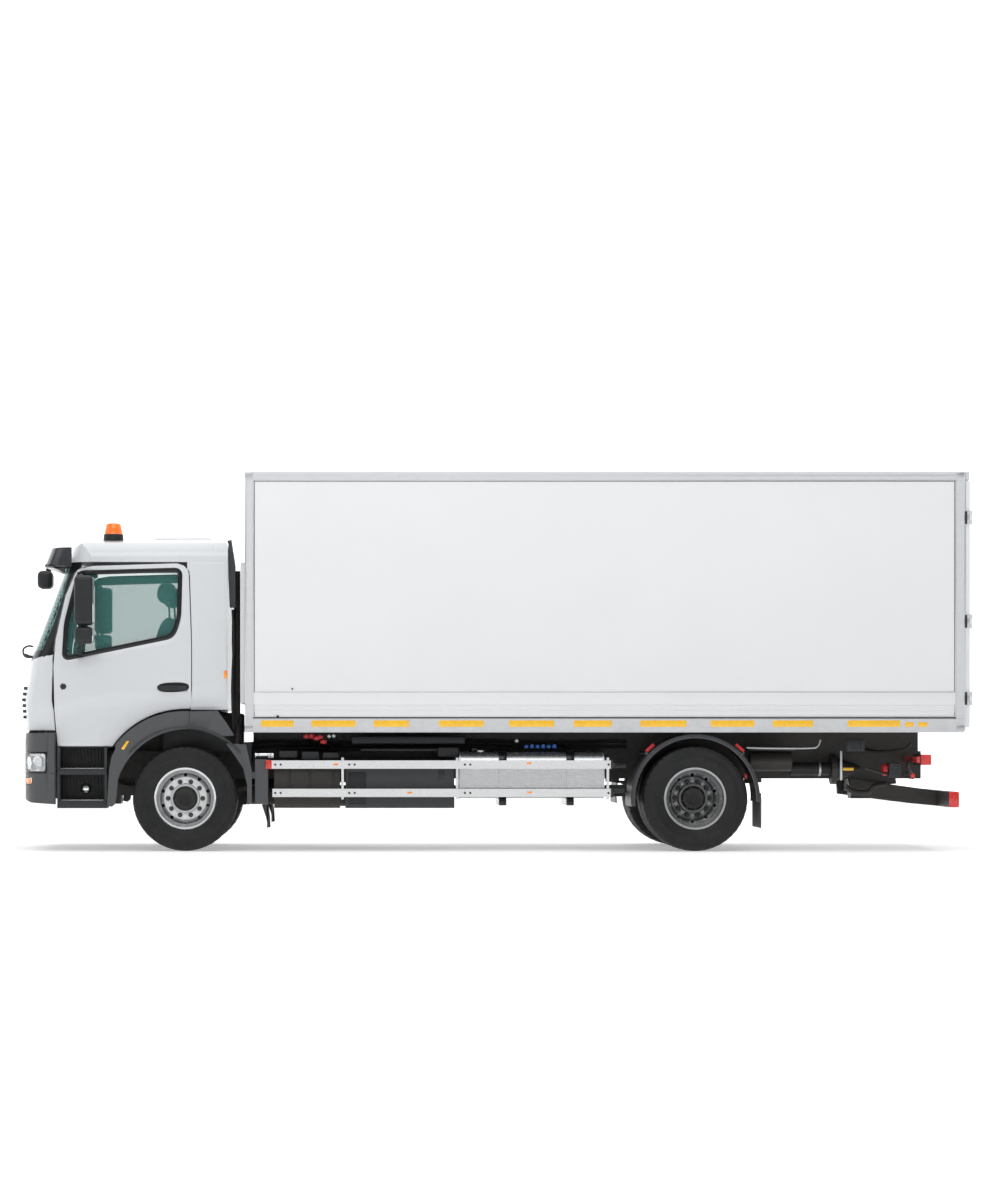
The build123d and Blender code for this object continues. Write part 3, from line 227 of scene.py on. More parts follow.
# ------------------------------------------------------------------ mesh tools
class Kit:
    """Collects shapes given in millimetres into one piece that rides on one body."""

    def __init__(self, name, body, mat, slot=None, cad=()):
        self.name, self.body, self.mat, self.slot, self.cad = name, body, mat, slot, cad
        self.bm = bmesh.new()

    def take(self, tmp, move=None):
        """Adds a temporary mesh to the piece, moved where a matrix is given."""
        if move is not None:
            bmesh.ops.transform(tmp, matrix=move, verts=tmp.verts)
        bmesh.ops.recalc_face_normals(tmp, faces=tmp.faces)
        me = bpy.data.meshes.new("tmp")
        tmp.to_mesh(me)
        tmp.free()
        self.bm.from_mesh(me)
        bpy.data.meshes.remove(me)

    def box(self, x0, x1, y0, y1, z0, z1, r=3.0, seg=2, move=None):
        """A block with rounded edges."""
        tmp = bmesh.new()
        bmesh.ops.create_cube(tmp, size=1.0)
        size = Vector((abs(x1 - x0), abs(y1 - y0), abs(z1 - z0)))
        mid = Vector(((x0 + x1) / 2, (y0 + y1) / 2, (z0 + z1) / 2))
        for v in tmp.verts:
            v.co = Vector((v.co.x * size.x, v.co.y * size.y, v.co.z * size.z)) + mid
        r = min(r, 0.45 * min(size))
        bmesh.ops.bevel(tmp, geom=list(tmp.edges), offset=r, segments=seg, profile=0.5, affect="EDGES")
        self.take(tmp, move)
        return self

    def prism(self, pts, a, b, r=3.0, seg=2, axis="Y", move=None):
        """A polygon in the plane across the axis, pushed from a to b."""
        tmp = bmesh.new()
        spot = {"Y": lambda p, c: (p[0], c, p[1]),
                "X": lambda p, c: (c, p[0], p[1]),
                "Z": lambda p, c: (p[0], p[1], c)}[axis]
        low = [tmp.verts.new(spot(p, a)) for p in pts]
        high = [tmp.verts.new(spot(p, b)) for p in pts]
        n = len(pts)
        tmp.faces.new(low)
        tmp.faces.new(high[::-1])
        for i in range(n):
            tmp.faces.new((low[i], high[i], high[(i + 1) % n], low[(i + 1) % n]))
        bmesh.ops.recalc_face_normals(tmp, faces=tmp.faces)
        if r:
            rims = [e for e in tmp.edges if len(e.link_faces) == 2 and e.calc_face_angle(0) > 0.35]
            bmesh.ops.bevel(tmp, geom=rims, offset=r, segments=seg, profile=0.5, affect="EDGES",
                    clamp_overlap=True)
        self.take(tmp, move)
        return self

    def lathe(self, prof, centre, axis="Y", seg=72, closed=False, move=None):
        """Turns (radius, along) points about an axis through centre."""
        tmp = bmesh.new()
        rings = []
        for r, a in prof:
            ring = []
            for k in range(seg):
                t = 2 * pi * k / seg
                u, v = r * cos(t), r * sin(t)
                ring.append(tmp.verts.new({"Y": (u, a, v), "X": (a, u, v), "Z": (u, v, a)}[axis]))
            rings.append(ring)
        pairs = list(zip(rings, rings[1:])) + ([(rings[-1], rings[0])] if closed else [])
        for one, two in pairs:
            for k in range(seg):
                tmp.faces.new((one[k], one[(k + 1) % seg], two[(k + 1) % seg], two[k]))
        if not closed:
            for ring in (rings[0], rings[-1]):
                tmp.faces.new(ring)
        shift = Matrix.Translation(centre)
        self.take(tmp, shift if move is None else move @ shift)
        return self

    def rod(self, a, b, r, seg=24, chamfer=None):
        """A round bar between two points with softened ends."""
        a, b = Vector(a), Vector(b)
        d = b - a
        c = min(r * 0.25, d.length * 0.2) if chamfer is None else chamfer
        move = Matrix.Translation(a) @ d.to_track_quat("Z", "Y").to_matrix().to_4x4()
        end = d.length
        prof = [(r - c, 0), (r - c * 0.3, c * 0.3), (r, c), (r, end - c), (r - c * 0.3, end - c * 0.3),
                (r - c, end)]
        return self.lathe(prof, (0, 0, 0), "Z", seg, move=move)

    def tube(self, pts, r, seg=12, samples=8):
        """A round tube along a smooth path."""
        path = smooth_path(pts, samples)
        tmp = bmesh.new()
        rings, up = [], None
        for i, p in enumerate(path):
            d = (path[min(i + 1, len(path) - 1)] - path[max(i - 1, 0)]).normalized()
            side = d.orthogonal().normalized() if up is None else (up - d * up.dot(d)).normalized()
            up = side
            other = d.cross(side)
            rings.append([tmp.verts.new(p + (side * cos(t) + other * sin(t)) * r)
                          for t in (2 * pi * k / seg for k in range(seg))])
        for one, two in zip(rings, rings[1:]):
            for k in range(seg):
                tmp.faces.new((one[k], one[(k + 1) % seg], two[(k + 1) % seg], two[k]))
        tmp.faces.new(rings[0])
        tmp.faces.new(rings[-1])
        self.take(tmp)
        return self

    def bolt(self, p, d, r=9.0, h=7.0):
        """A hexagon head with its washer, facing along d."""
        d = Vector(d).normalized()
        p = Vector(p)
        self.rod(p, p + d * 2, r * 1.35, 20)
        move = Matrix.Translation(p + d * 2) @ d.to_track_quat("Z", "Y").to_matrix().to_4x4()
        return self.lathe([(r * 0.99, 0), (r, h * 0.75), (r * 0.8, h)], (0, 0, 0), "Z", 6, move=move)

    def done(self, angle=32, flip=False):
        """Closes the piece; flip mirrors it to the right side."""
        if flip:
            bmesh.ops.scale(self.bm, vec=(1, -1, 1), verts=self.bm.verts)
            bmesh.ops.reverse_faces(self.bm, faces=self.bm.faces)
        for v in self.bm.verts:
            v.co = P(*v.co)
        me = bpy.data.meshes.new(self.name)
        self.bm.to_mesh(me)
        self.bm.free()
        return finish_piece(self.name, me, self.body, self.mat, self.cad, angle)


def outward(me):
    """Turns a mesh's faces the same way, outwards."""
    bm = bmesh.new()
    bm.from_mesh(me)
    bmesh.ops.recalc_face_normals(bm, faces=bm.faces)
    bm.to_mesh(me)
    bm.free()


def finish_piece(name, me, body, mat, cad=(), angle=32):
    """Shades a mesh, links it and tells the frame what it rides on and replaces."""
    me.polygons.foreach_set("use_smooth", [True] * len(me.polygons))
    me.set_sharp_from_angle(angle=radians(angle))
    me.materials.append(mat)
    ob = bpy.data.objects.new(name, me)
    bpy.context.scene.collection.objects.link(ob)
    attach(ob, body)
    if cad:
        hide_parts(*cad)
    return ob


def smooth_path(pts, samples=8):
    """Points along a Catmull-Rom curve through pts."""
    pts = [Vector(p) for p in pts]
    if len(pts) == 2:
        return pts
    out = []
    ext = [pts[0] * 2 - pts[1], *pts, pts[-1] * 2 - pts[-2]]
    for i in range(1, len(ext) - 2):
        a, b, c, d = ext[i - 1], ext[i], ext[i + 1], ext[i + 2]
        for k in range(samples):
            t = k / samples
            out.append(0.5 * ((2 * b) + (c - a) * t + (2 * a - 5 * b + 4 * c - d) * t * t
                    + (3 * b - a - 3 * c + d) * t**3))
    out.append(pts[-1])
    return out


def curve_1d(points):
    """A smooth function through (a, b) points, monotone in a."""
    a = np.array([p[0] for p in points], float)
    b = np.array([p[1] for p in points], float)
    h = np.diff(a)
    s = np.diff(b) / h
    m = np.concatenate([[s[0]], (s[1:] * h[:-1] + s[:-1] * h[1:]) / (h[1:] + h[:-1]), [s[-1]]])

    def f(x):
        x = min(max(x, a[0]), a[-1])
        i = min(int(np.searchsorted(a, x, side="right")) - 1, len(h) - 1)
        t = (x - a[i]) / h[i]
        return float(b[i] * (1 + 2 * t) * (1 - t) ** 2 + m[i] * h[i] * t * (1 - t) ** 2
                     + b[i + 1] * t * t * (3 - 2 * t) + m[i + 1] * h[i] * t * t * (t - 1))

    return f


def rounded(pts, r, n=6):
    """A closed 2-D outline with rounded corners; r is one radius or one per corner."""
    out = []
    count = len(pts)
    for i, p in enumerate(pts):
        rr = r[i] if isinstance(r, (list, tuple)) else r
        p = Vector(p)
        a, b = Vector(pts[i - 1]), Vector(pts[(i + 1) % count])
        da, db = (a - p), (b - p)
        if rr <= 0:
            out.append(tuple(p))
            continue
        cut = min(rr, da.length * 0.45, db.length * 0.45)
        s, e = p + da.normalized() * cut, p + db.normalized() * cut
        for k in range(n + 1):
            t = k / n
            out.append(tuple(s * (1 - t) ** 2 + p * 2 * t * (1 - t) + e * t * t))
    return out


def dense(pts, step):
    """A closed outline with points no further apart than about step."""
    out = []
    for i, p in enumerate(pts):
        a, b = Vector(p), Vector(pts[(i + 1) % len(pts)])
        n = max(1, int((b - a).length / step))
        out += [tuple(a + (b - a) * k / n) for k in range(n)]
    return out


def area(pts):
    """Signed area of a loop, positive where it runs counter-clockwise."""
    return 0.5 * sum(a[0] * b[1] - b[0] * a[1] for a, b in zip(pts, pts[1:] + pts[:1]))


def inset(pts, d):
    """Moves a counter-clockwise loop inwards by d."""
    out = []
    n = len(pts)
    for i in range(n):
        a, p, b = Vector(pts[i - 1]), Vector(pts[i]), Vector(pts[(i + 1) % n])
        u, v = (p - a).normalized(), (b - p).normalized()
        nrm = Vector((-(u.y + v.y), u.x + v.x))
        if nrm.length < 1e-6:
            nrm = Vector((-u.y, u.x))
        nrm.normalize()
        k = max(0.5, nrm.dot(Vector((-u.y, u.x))))
        out.append(tuple(p + nrm * d / k))
    return out


def inside(p, loop):
    """Whether a 2-D point lies in a loop."""
    x, y = p
    hit = False
    for (x0, y0), (x1, y1) in zip(loop, loop[1:] + loop[:1]):
        if (y0 > y) != (y1 > y) and x < (x1 - x0) * (y - y0) / (y1 - y0) + x0:
            hit = not hit
    return hit


def surface_panel(name, outer, holes, fn, body, mat, cad=(), depth=22.0, step=45.0, r=4.0,
                  flip=False, angle=40, lift=0.0):
    """A pressed panel: an outline with holes in (u, v), laid on the surface fn(u, v) with rolled edges."""
    outer = dense(outer, step)
    if area(outer) < 0:
        outer = outer[::-1]
    loops = [outer]
    for h in holes:
        h = dense(h, step)
        loops.append(h[::-1] if area(h) > 0 else h)
    rings = [[inset(lp, 0.0), inset(lp, r * 0.3), inset(lp, r)] for lp in loops]
    drops = (r, r * 0.3, 0.0)
    flat, edges = [], []
    for ring in rings:
        base = len(flat)
        flat += ring[2]
        n = len(ring[2])
        edges += [(base + k, base + (k + 1) % n) for k in range(n)]
    border = len(flat)
    us, vs = [p[0] for p in outer], [p[1] for p in outer]
    core, gaps = inset(loops[0], r + step * 0.35), [inset(lp, r + step * 0.35) for lp in loops[1:]]
    nu = int((max(us) - min(us)) / step) + 1
    nv = int((max(vs) - min(vs)) / step) + 1
    for i in range(nu + 1):
        for j in range(nv + 1):
            p = (min(us) + (max(us) - min(us)) * (i + (0.5 if j % 2 else 0)) / nu,
                 min(vs) + (max(vs) - min(vs)) * j / nv)
            if inside(p, core) and not any(inside(p, g) for g in gaps):
                flat.append(p)
    res = geometry.delaunay_2d_cdt([Vector(p) for p in flat], edges, [], 0, 1e-5)
    co, tris, origin = res[0], res[2], res[3]
    where = {}
    for k, olds in enumerate(origin):
        for o in olds:
            where[o] = k

    def place(u, v, down):
        p, nrm = fn(u, v)
        return p - nrm * (down - lift)

    verts = [place(c.x, c.y, 0.0) for c in co]
    faces = []
    hole2 = [ring[2] for ring in rings[1:]]
    for t in tris:
        c = (sum(co[i].x for i in t) / 3, sum(co[i].y for i in t) / 3)
        if inside(c, rings[0][2]) and not any(inside(c, h) for h in hole2):
            faces.append(tuple(t))
    base = 0
    for ring in rings:
        n = len(ring[2])
        prev = [where[base + k] for k in range(n)]
        base += n
        for level, down in ((1, drops[1]), (0, drops[0]), (0, depth)):
            now = []
            for p in ring[level]:
                now.append(len(verts))
                verts.append(place(p[0], p[1], down))
            for k in range(n):
                faces.append((prev[k], now[k], now[(k + 1) % n], prev[(k + 1) % n]))
            prev = now
    if flip:
        verts = [Vector((v.x, -v.y, v.z)) for v in verts]
    me = bpy.data.meshes.new(name)
    me.from_pydata([P(*v) for v in verts], [], faces)
    outward(me)
    return finish_piece(name, me, body, mat, cad, angle)


def grid_piece(name, rows, body, mat, cad=(), closed=False, angle=40, caps=False):
    """A skin through rows of points given in millimetres."""
    me = bpy.data.meshes.new(name)
    n = len(rows[0])
    verts = [P(*p) for row in rows for p in row]
    faces = []
    for i in range(len(rows) - 1):
        for j in range(n if closed else n - 1):
            k = (j + 1) % n
            faces.append((i * n + j, i * n + k, (i + 1) * n + k, (i + 1) * n + j))
    if caps:
        faces.append(tuple(range(n)))
        faces.append(tuple((len(rows) - 1) * n + j for j in range(n)))
    me.from_pydata(verts, [], faces)
    outward(me)
    return finish_piece(name, me, body, mat, cad, angle)


def paint(node, mat):
    """Gives a carried-over CAD node its finish."""
    ob = CAD[node]
    ob.data.materials.clear()
    ob.data.materials.append(mat)


# ------------------------------------------------------------------ camera, light and floor
def stage_set():
    """The camera, the pale sweep under and behind the truck, and the lights."""
    cam = bpy.data.cameras.new("camera")
    cam.lens, cam.sensor_width, cam.sensor_fit = 101.2, 36.0, "AUTO"
    cam.shift_x, cam.shift_y = 0.1333, 0.1125
    cam.clip_end = 3000
    ob = bpy.data.objects.new("camera", cam)
    ob.location = (-1.474, -33.6, 1.118)
    ob.rotation_euler = (radians(90), 0, 0)
    bpy.context.scene.collection.objects.link(ob)
    bpy.context.scene.camera = ob

    def sheet_mesh(name, outline, mat):
        me = bpy.data.meshes.new(name)
        verts = [(x, y, z) for y, z in outline for x in (-1000, -30, 30, 1000)]
        me.from_pydata(verts, [], [(4 * i + k, 4 * i + k + 1, 4 * i + k + 5, 4 * i + k + 4)
                                   for i in range(len(outline) - 1) for k in range(3)])
        for p in me.polygons:
            p.use_smooth = True
        me.materials.append(mat)
        sheet = bpy.data.objects.new(name, me)
        bpy.context.scene.collection.objects.link(sheet)

    m, nt, b = shader("pale_floor")
    b.inputs["Base Color"].default_value = (0.86, 0.86, 0.86, 1)
    b.inputs["Roughness"].default_value = 0.8
    b.inputs["Specular IOR Level"].default_value = 0.1
    b.inputs["Emission Color"].default_value = (1, 1, 1, 1)
    sep = nt.nodes.new("ShaderNodeSeparateXYZ")
    link(nt, coords(nt), sep.inputs[0])
    link(nt, remap(nt, sep.outputs["Y"], -24.0, -7.0, 0.95, 0.36), b.inputs["Emission Strength"])
    w, nt, b = shader("pale_backdrop")
    b.inputs["Base Color"].default_value = (0.8, 0.8, 0.8, 1)
    b.inputs["Roughness"].default_value = 0.9
    b.inputs["Emission Color"].default_value = (1, 1, 1, 1)
    b.inputs["Emission Strength"].default_value = 0.95
    sheet_mesh("floor", [(-1000, 0), (-20, 0), (0, 0), (10, 0), (26, 0)], m)
    sheet_mesh("backdrop", [(26, 0), (34, 0.5), (40, 3), (44, 9), (46, 20), (47, 60)], w)

    def area_light(name, loc, aim, size, power, sy=None):
        d = bpy.data.lights.new(name, "AREA")
        d.shape, d.size, d.size_y, d.energy = "RECTANGLE", size, sy or size, power
        o = bpy.data.objects.new(name, d)
        o.location = loc
        o.rotation_euler = (Vector(aim) - Vector(loc)).to_track_quat("-Z", "Y").to_euler()
        bpy.context.scene.collection.objects.link(o)

    area_light("key", (-3, -15, 13), (0, 0, 1.6), 14, 880, 9)
    area_light("top", (0, 0, 15), (0, 0, 0), 24, 1750, 16)
    area_light("front", (-15, -5, 6), (-3, 0, 1.6), 7, 90)
    world = bpy.data.worlds.new("studio")
    world.use_nodes = True
    bg = world.node_tree.nodes["Background"]
    bg.inputs[0].default_value = (0.96, 0.98, 1.0, 1)
    bg.inputs[1].default_value = 0.35
    bpy.context.scene.world = world
    bpy.context.scene.view_settings.view_transform = "Standard"


stage_set()
# ------------------------------------------------------------------ cab skins
SLABS = [(1000, -1590), (1450, -1621), (1863, -1559), (2757, -1217), (3120, -1076)]


def nose(z):
    """Where the cab's front stands at a height."""
    for (z0, x0), (z1, x1) in zip(SLABS, SLABS[1:]):
        if z <= z1:
            return x0 + (x1 - x0) * (z - z0) / (z1 - z0)
    return SLABS[-1][1]


def soft(t):
    """A smooth step from 0 to 1."""
    t = min(max(t, 0.0), 1.0)
    return t * t * (3 - 2 * t)


low_line = curve_1d([(-1700, 1235), (-1459, 1246), (-940, 1396), (-297, 1468), (60, 1496), (420, 1520)])
high_line = curve_1d([(-1700, 1690), (-1251, 1736), (-650, 1872), (-85, 2004), (110, 2092), (190, 2140),
                      (420, 2145)])


def relief(x, z):
    """How far the pressed skin stands out from the plain cab form, in millimetres."""
    belt = soft((z - low_line(x)) / 75) * (1 - soft((z - high_line(x)) / 70)) * soft(abs(x + 1262) / 110)
    low = 0.35 * (1 - soft((z - low_line(x)) / 40))
    ridge = exp(-(((z - low_line(x) - 40) / 26) ** 2)) * 3.0
    rear = soft((x - 300) / 60) * 5.0
    return 4.0 + 11.0 * belt + 3.0 * low + ridge * soft((x + 1200) / 500) - min(rear, 3.0 + 10 * belt)


def around(s, z, d):
    """A place on the cab form: s runs forward from the start of the corner, then across the front."""
    c = nose(z) + SETBACK
    if s <= 0:
        return Vector((c - s, -CAB_HALF - d, z)), Vector((0, -1, 0))
    a = s / CORNER
    if a < TURN:
        n = Vector((-sin(a), -cos(a), 0))
        return Vector((c - (CORNER + d) * sin(a), CORNER - CAB_HALF - (CORNER + d) * cos(a), z)), n
    y = -(BEND - (s - ARC) * ALONG)
    n = Vector((-1, 2 * BOW * y, 0)).normalized()
    return Vector((nose(z) + BOW * y * y, y, z)) + n * d, n


def past(x, z):
    """How far a place on the side lies round the corner, as around() counts it."""
    c = nose(z) + SETBACK
    return c - x if x >= c else CORNER * asin(min((c - x) / CORNER, 0.97))


def side_skin(x, z):
    """The pressed surface of the cab's side."""
    return around(past(x, z), z, relief(x, z))


def seal_skin(x, z):
    """The plain surface that the window seal lies on."""
    return around(past(x, z), z, 6.0)


def corner_skin(s, z):
    """The cab's side relief, fading out round the corner."""
    x = nose(z) + SETBACK - (s if s <= 0 else CORNER * sin(min(s / CORNER, 1.41)))
    fade = 1 - soft(s / 360)
    swell = 3.0 * exp(-(((z - 1520) / 160) ** 2))
    return around(s, z, 4.0 + (relief(x, z) - 4.0) * fade + swell * (1 - fade))


ARCH_R, ARCH_STEPS = 862.0, 26
ARCH_FROM, ARCH_TO = atan2(500, -702.3), atan2(860.8, 45)
arch = [(ARCH_R * cos(t), AXLE_Z + ARCH_R * sin(t)) for t in
        (ARCH_FROM - k * (ARCH_FROM - ARCH_TO) / ARCH_STEPS for k in range(1, ARCH_STEPS))]
DOOR = [(-1227, 1010), (-697, 1010), *arch, (44, 1371), (58, 1400), (59, 1672), (59, 1994), (36, 2676),
        (22, 2712), (-16, 2750), (-80, 2770), (-880, 2745), (-1000, 2725), (-1036, 2708), (-1058, 2676),
        (-1152, 2463), (-1247, 2036), (-1268, 1779), (-1258, 1350)]
WINDOW = rounded([(-1152, 1868), (-1132, 2190), (-1012, 2666), (-60, 2694), (-72, 2240), (-130, 2078)],
                 [40, 60, 45, 45, 90, 60], 7)
if area(WINDOW) < 0:
    WINDOW = WINDOW[::-1]


def oval(cx, cz, rx, rz, tilt=0.0, n=28, power=2.6):
    """A squarish oval outline."""
    pts = []
    for k in range(n):
        t = 2 * pi * k / n
        u = rx * copysign(abs(cos(t)) ** (2 / power), cos(t))
        v = rz * copysign(abs(sin(t)) ** (2 / power), sin(t))
        pts.append((cx + u * cos(tilt) - v * sin(tilt), cz + u * sin(tilt) + v * cos(tilt)))
    return pts


RECESS = oval(-115, 1577, 152, 46, 0.03)
for name, flip in SIDES:
    door = f"door_{name}"
    surface_panel(f"door_skin_{name}", DOOR, [inset(WINDOW, -34), RECESS], side_skin, door, WHITE,
                  depth=11, step=42, r=5, flip=flip)
    surface_panel(f"window_seal_{name}", inset(WINDOW, -30), [inset(WINDOW, 9)], seal_skin, door, BLACK,
                  depth=20, step=40, r=4, flip=flip)
    surface_panel(f"corner_skin_{name}", [(-21, 1162), (-19, 1350), (34, 1785), (52, 1893), (170, 1878),
            (366, 1838), (366, 1162)], [], corner_skin, "cab", WHITE, depth=12, step=40, r=6, flip=flip)
    surface_panel(f"quarter_skin_{name}", [(66, 1378), (66, 1994), (44, 2678), (28, 2724), (28, 2782),
            (402, 2782), (402, 1378)], [], side_skin, "cab", WHITE, depth=12, step=42, r=5, flip=flip)
    k = Kit(f"door_furniture_{name}", door, DARK)
    k.box(-254, 24, -1186, -1162, 1543, 1592, r=11, seg=4)
    k.box(-70, 12, -1188, -1160, 1552, 1584, r=9, seg=3)
    k.lathe([(20, 0), (33, -4), (35, -9), (30, -13), (12, -15)], (-1170, -1153, 1584), seg=6)
    k.done(flip=flip)
    lens = Kit(f"side_marker_{name}", "cab", ORANGE)
    lens.box(372, 404, -1166, -1148, 1662, 1738, r=6, seg=3)
    lens.done(flip=flip)

# front flap with louvres, its surround and the screen's lower rail
for name, flip in SIDES:
    surface_panel(f"screen_wrap_{name}", [(196, 1934), (367, 1927), (367, 2733), (262, 2733), (196, 2480),
            (176, 2200)], [], lambda s, z: around(s, z, 3.0), "cab", WRAP, depth=8, step=40, r=2,
            flip=flip)
    # Dark blocks filling the gap above the bumper under the cab's corner, and the gap under the door: painted
    # shade.
    k = Kit(f"lower_gap_shade_{name}", "cab", DARK)
    k.box(-1345, -1236, -1138, -1060, 1100, 1168, r=6)
    k.box(-1225, -700, -1140, -1100, 998, 1020, r=4)
    k.done(flip=flip)

FULL = 2 * (ARC + BEND / ALONG)  # both corners and the front, as around() counts it
flap = [(374, 1184), (374, 1832), (FULL - 374, 1832), (FULL - 374, 1184)]
mesh_hole = rounded([(520, 1250), (500, 1600), (FULL - 500, 1600), (FULL - 520, 1250)], 40)
surface_panel("flap_skin", flap, [mesh_hole], lambda s, z: around(s, z, 4.0), "grille", WHITE, depth=10,
              step=70, r=6)
k = Kit("flap_louvres", "grille", GREY)
for n in range(6):
    z = 1278 + n * 56
    for a, b in ((-760, -390), (-380, -10), (10, 380), (390, 760)):
        x0, x1 = nose(z) + BOW * a * a, nose(z) + BOW * b * b
        k.box(min(x0, x1) + 1, max(x0, x1) + 9, a, b, z, z + 30, r=5, seg=3)
k.done()
k = Kit("kerb_mirror", "cab", DARK)
k.box(-1590, -1436, 690, 935, 2606, 2792, r=52, seg=5)
k.tube([(-1500, 810, 2770), (-1478, 812, 2826), (-1420, 814, 2862), (-1330, 816, 2866),
        (-1250, 818, 2850)], 20)
k.tube([(-1480, 880, 2770), (-1462, 884, 2830), (-1400, 890, 2880), (-1300, 894, 2876)], 14)
k.tube([(-1540, -560, 1878), (-1590, -565, 1884), (-1612, -566, 1920), (-1606, -566, 1966),
        (-1560, -560, 1990), (-1514, -560, 1984)], 9)
k.done()


def roof_top(y):
    """Height of the crowned roof at a distance from the middle."""
    return 3055 - 95 * (y / CAB_HALF) ** 2


Kit("roof_hatch", "cab", WHITE).box(-330, 210, -330, 330, 3040, 3058, r=8, seg=3).done()
k = Kit("roof_details", "cab", BLACK)
for x in (-337, 216):
    k.tube([(x, y, roof_top(y)) for y in (-340, -170, 0, 170, 340)], 5, samples=4)
for y in (-1, 1):
    k.tube([(-337, y * 338, roof_top(338)), (216, y * 338, roof_top(338))], 5)
    k.tube([(-1080, y * 1046, 2800), (-700, y * 1065, 2832), (-200, y * 1074, 2842),
            (330, y * 1070, 2836)], 5, samples=10)
# A dark plate under the beacon: a mounting pad that also stands in for the beacon base's reflection in the
# glossy roof, a painted reflection.
k.box(-842, -590, -858, -640, 2946, 2992, r=14, seg=4)
k.done()
Kit("beacon_base", "cab", DARK, cad=("beacon",)).lathe([(80, 2950), (99, 2956), (100, 2985), (97, 3030),
        (94, 3066), (88, 3073)], (-716, -750, 0), "Z", 56).done()
k = Kit("beacon_lens", "cab", AMBER)
k.lathe([(86, 3066), (91, 3074), (88, 3090), (86, 3092), (84, 3110), (82, 3112), (80, 3130), (78, 3132),
         (74, 3156), (66, 3172), (50, 3180), (20, 3182)], (-716, -750, 0), "Z", 56)
k.done()

# mirrors
for name, flip in SIDES:
    body = f"mirror_{name}"
    k = Kit(f"mirror_housing_{name}", body, DARK, cad=(f"door_mirror_{name}",))
    k.box(-1048, -868, -1458, -1226, 2168, 2640, r=44, seg=6)
    k.box(-1044, -872, -1448, -1226, 1992, 2152, r=40, seg=6)
    k.rod((-1010, -1180, 1882), (-1010, -1180, 2662), 14, 24)
    k.tube([(-1010, -1180, 2648), (-1000, -1230, 2652), (-980, -1280, 2646), (-975, -1320, 2620)], 13)
    k.tube([(-1010, -1180, 1946), (-1000, -1230, 1944), (-985, -1280, 1960), (-980, -1310, 2004)], 13)
    k.box(-990, -950, -1330, -1290, 2140, 2180, r=12)
    for z in (1884, 1930, 2632):
        k.lathe([(20, z), (25, z + 4), (25, z + 26), (20, z + 30)], (-1010, -1180, 0), "Z", 28)
    k.done(flip=flip)
    g = Kit(f"mirror_glass_{name}", body, MIRROR)
    g.box(-872, -861, -1438, -1246, 2190, 2620, r=5, seg=3)
    g.box(-876, -866, -1432, -1242, 2008, 2136, r=5, seg=3)
    g.done(flip=flip)


# seats: padded cushions on the CAD frames
def pillow(name, centre, size, lean, power=3.2, crown=0.16):
    """A stuffed cushion: a rounded block with a fuller middle, side bolsters and stitched seams."""
    rows = []
    nu, nv = 40, 56
    for i in range(1, nu):
        phi = pi * i / nu - pi / 2
        row = []
        for j in range(nv):
            th = 2 * pi * j / nv
            cp, sp = abs(cos(phi)) ** (2 / power), copysign(abs(sin(phi)) ** (2 / power), sin(phi))
            x = size[0] / 2 * cp * copysign(abs(cos(th)) ** (2 / power), cos(th))
            y = size[1] / 2 * cp * copysign(abs(sin(th)) ** (2 / power), sin(th))
            z = size[2] / 2 * sp
            full = 1 - (2 * x / size[0]) ** 2 * 0.5
            bolster = exp(-(((abs(y) - size[1] * 0.38) / (size[1] * 0.09)) ** 2))
            seam = sum(exp(-(((y - size[1] * q) / 5) ** 2)) for q in (-0.28, 0.28))
            if abs(y) < size[1] * 0.28:
                seam += sum(exp(-(((x - size[0] * q) / 5) ** 2)) for q in (-0.2, 0.12))
            if z > 0:
                z += size[2] * (crown * full * 0.5 + 0.10 * bolster) - 5 * min(seam, 1)
            row.append(Vector((x, y, z)))
        rows.append(row)
    move = Matrix.Translation(centre) @ Matrix.Rotation(radians(lean), 4, "Y")
    ob = grid_piece(name, [[move @ p for p in row] for row in rows], "cab", FABRIC, closed=True, angle=60,
                    caps=True)
    return ob


for name, y in (("left", -560), ("right", 560)):
    cushion = pillow(f"seat_cushion_{name}", (-480, y, 1702), (540, 500, 150), -4)
    pillow(f"seat_back_{name}", (-225, y, 1990), (560, 490, 160), -76, crown=0.12)
    pillow(f"head_rest_{name}", (-205, y, 2505), (205, 300, 165), -78, power=2.6, crown=0.1)
    if name == "left":
        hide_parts("seats")
    k = Kit(f"seat_frame_{name}", "cab", INNER)
    k.box(-660, -230, y - 200, y + 200, 1396, 1440, r=10)
    k.box(-640, -250, y - 170, y + 170, 1436, 1560, r=24, seg=4)
    k.box(-700, -215, y - 235, y + 235, 1556, 1640, r=22, seg=4)
    for s in (-1, 1):
        k.tube([(-250, y + s * 190, 1620), (-215, y + s * 200, 1720), (-170, y + s * 195, 2020),
                (-150, y + s * 150, 2210)], 17)
    for q in (-55, 55):
        k.rod((-175, y + q, 2200), (-190, y + q, 2450), 7, 14)
    k.done()

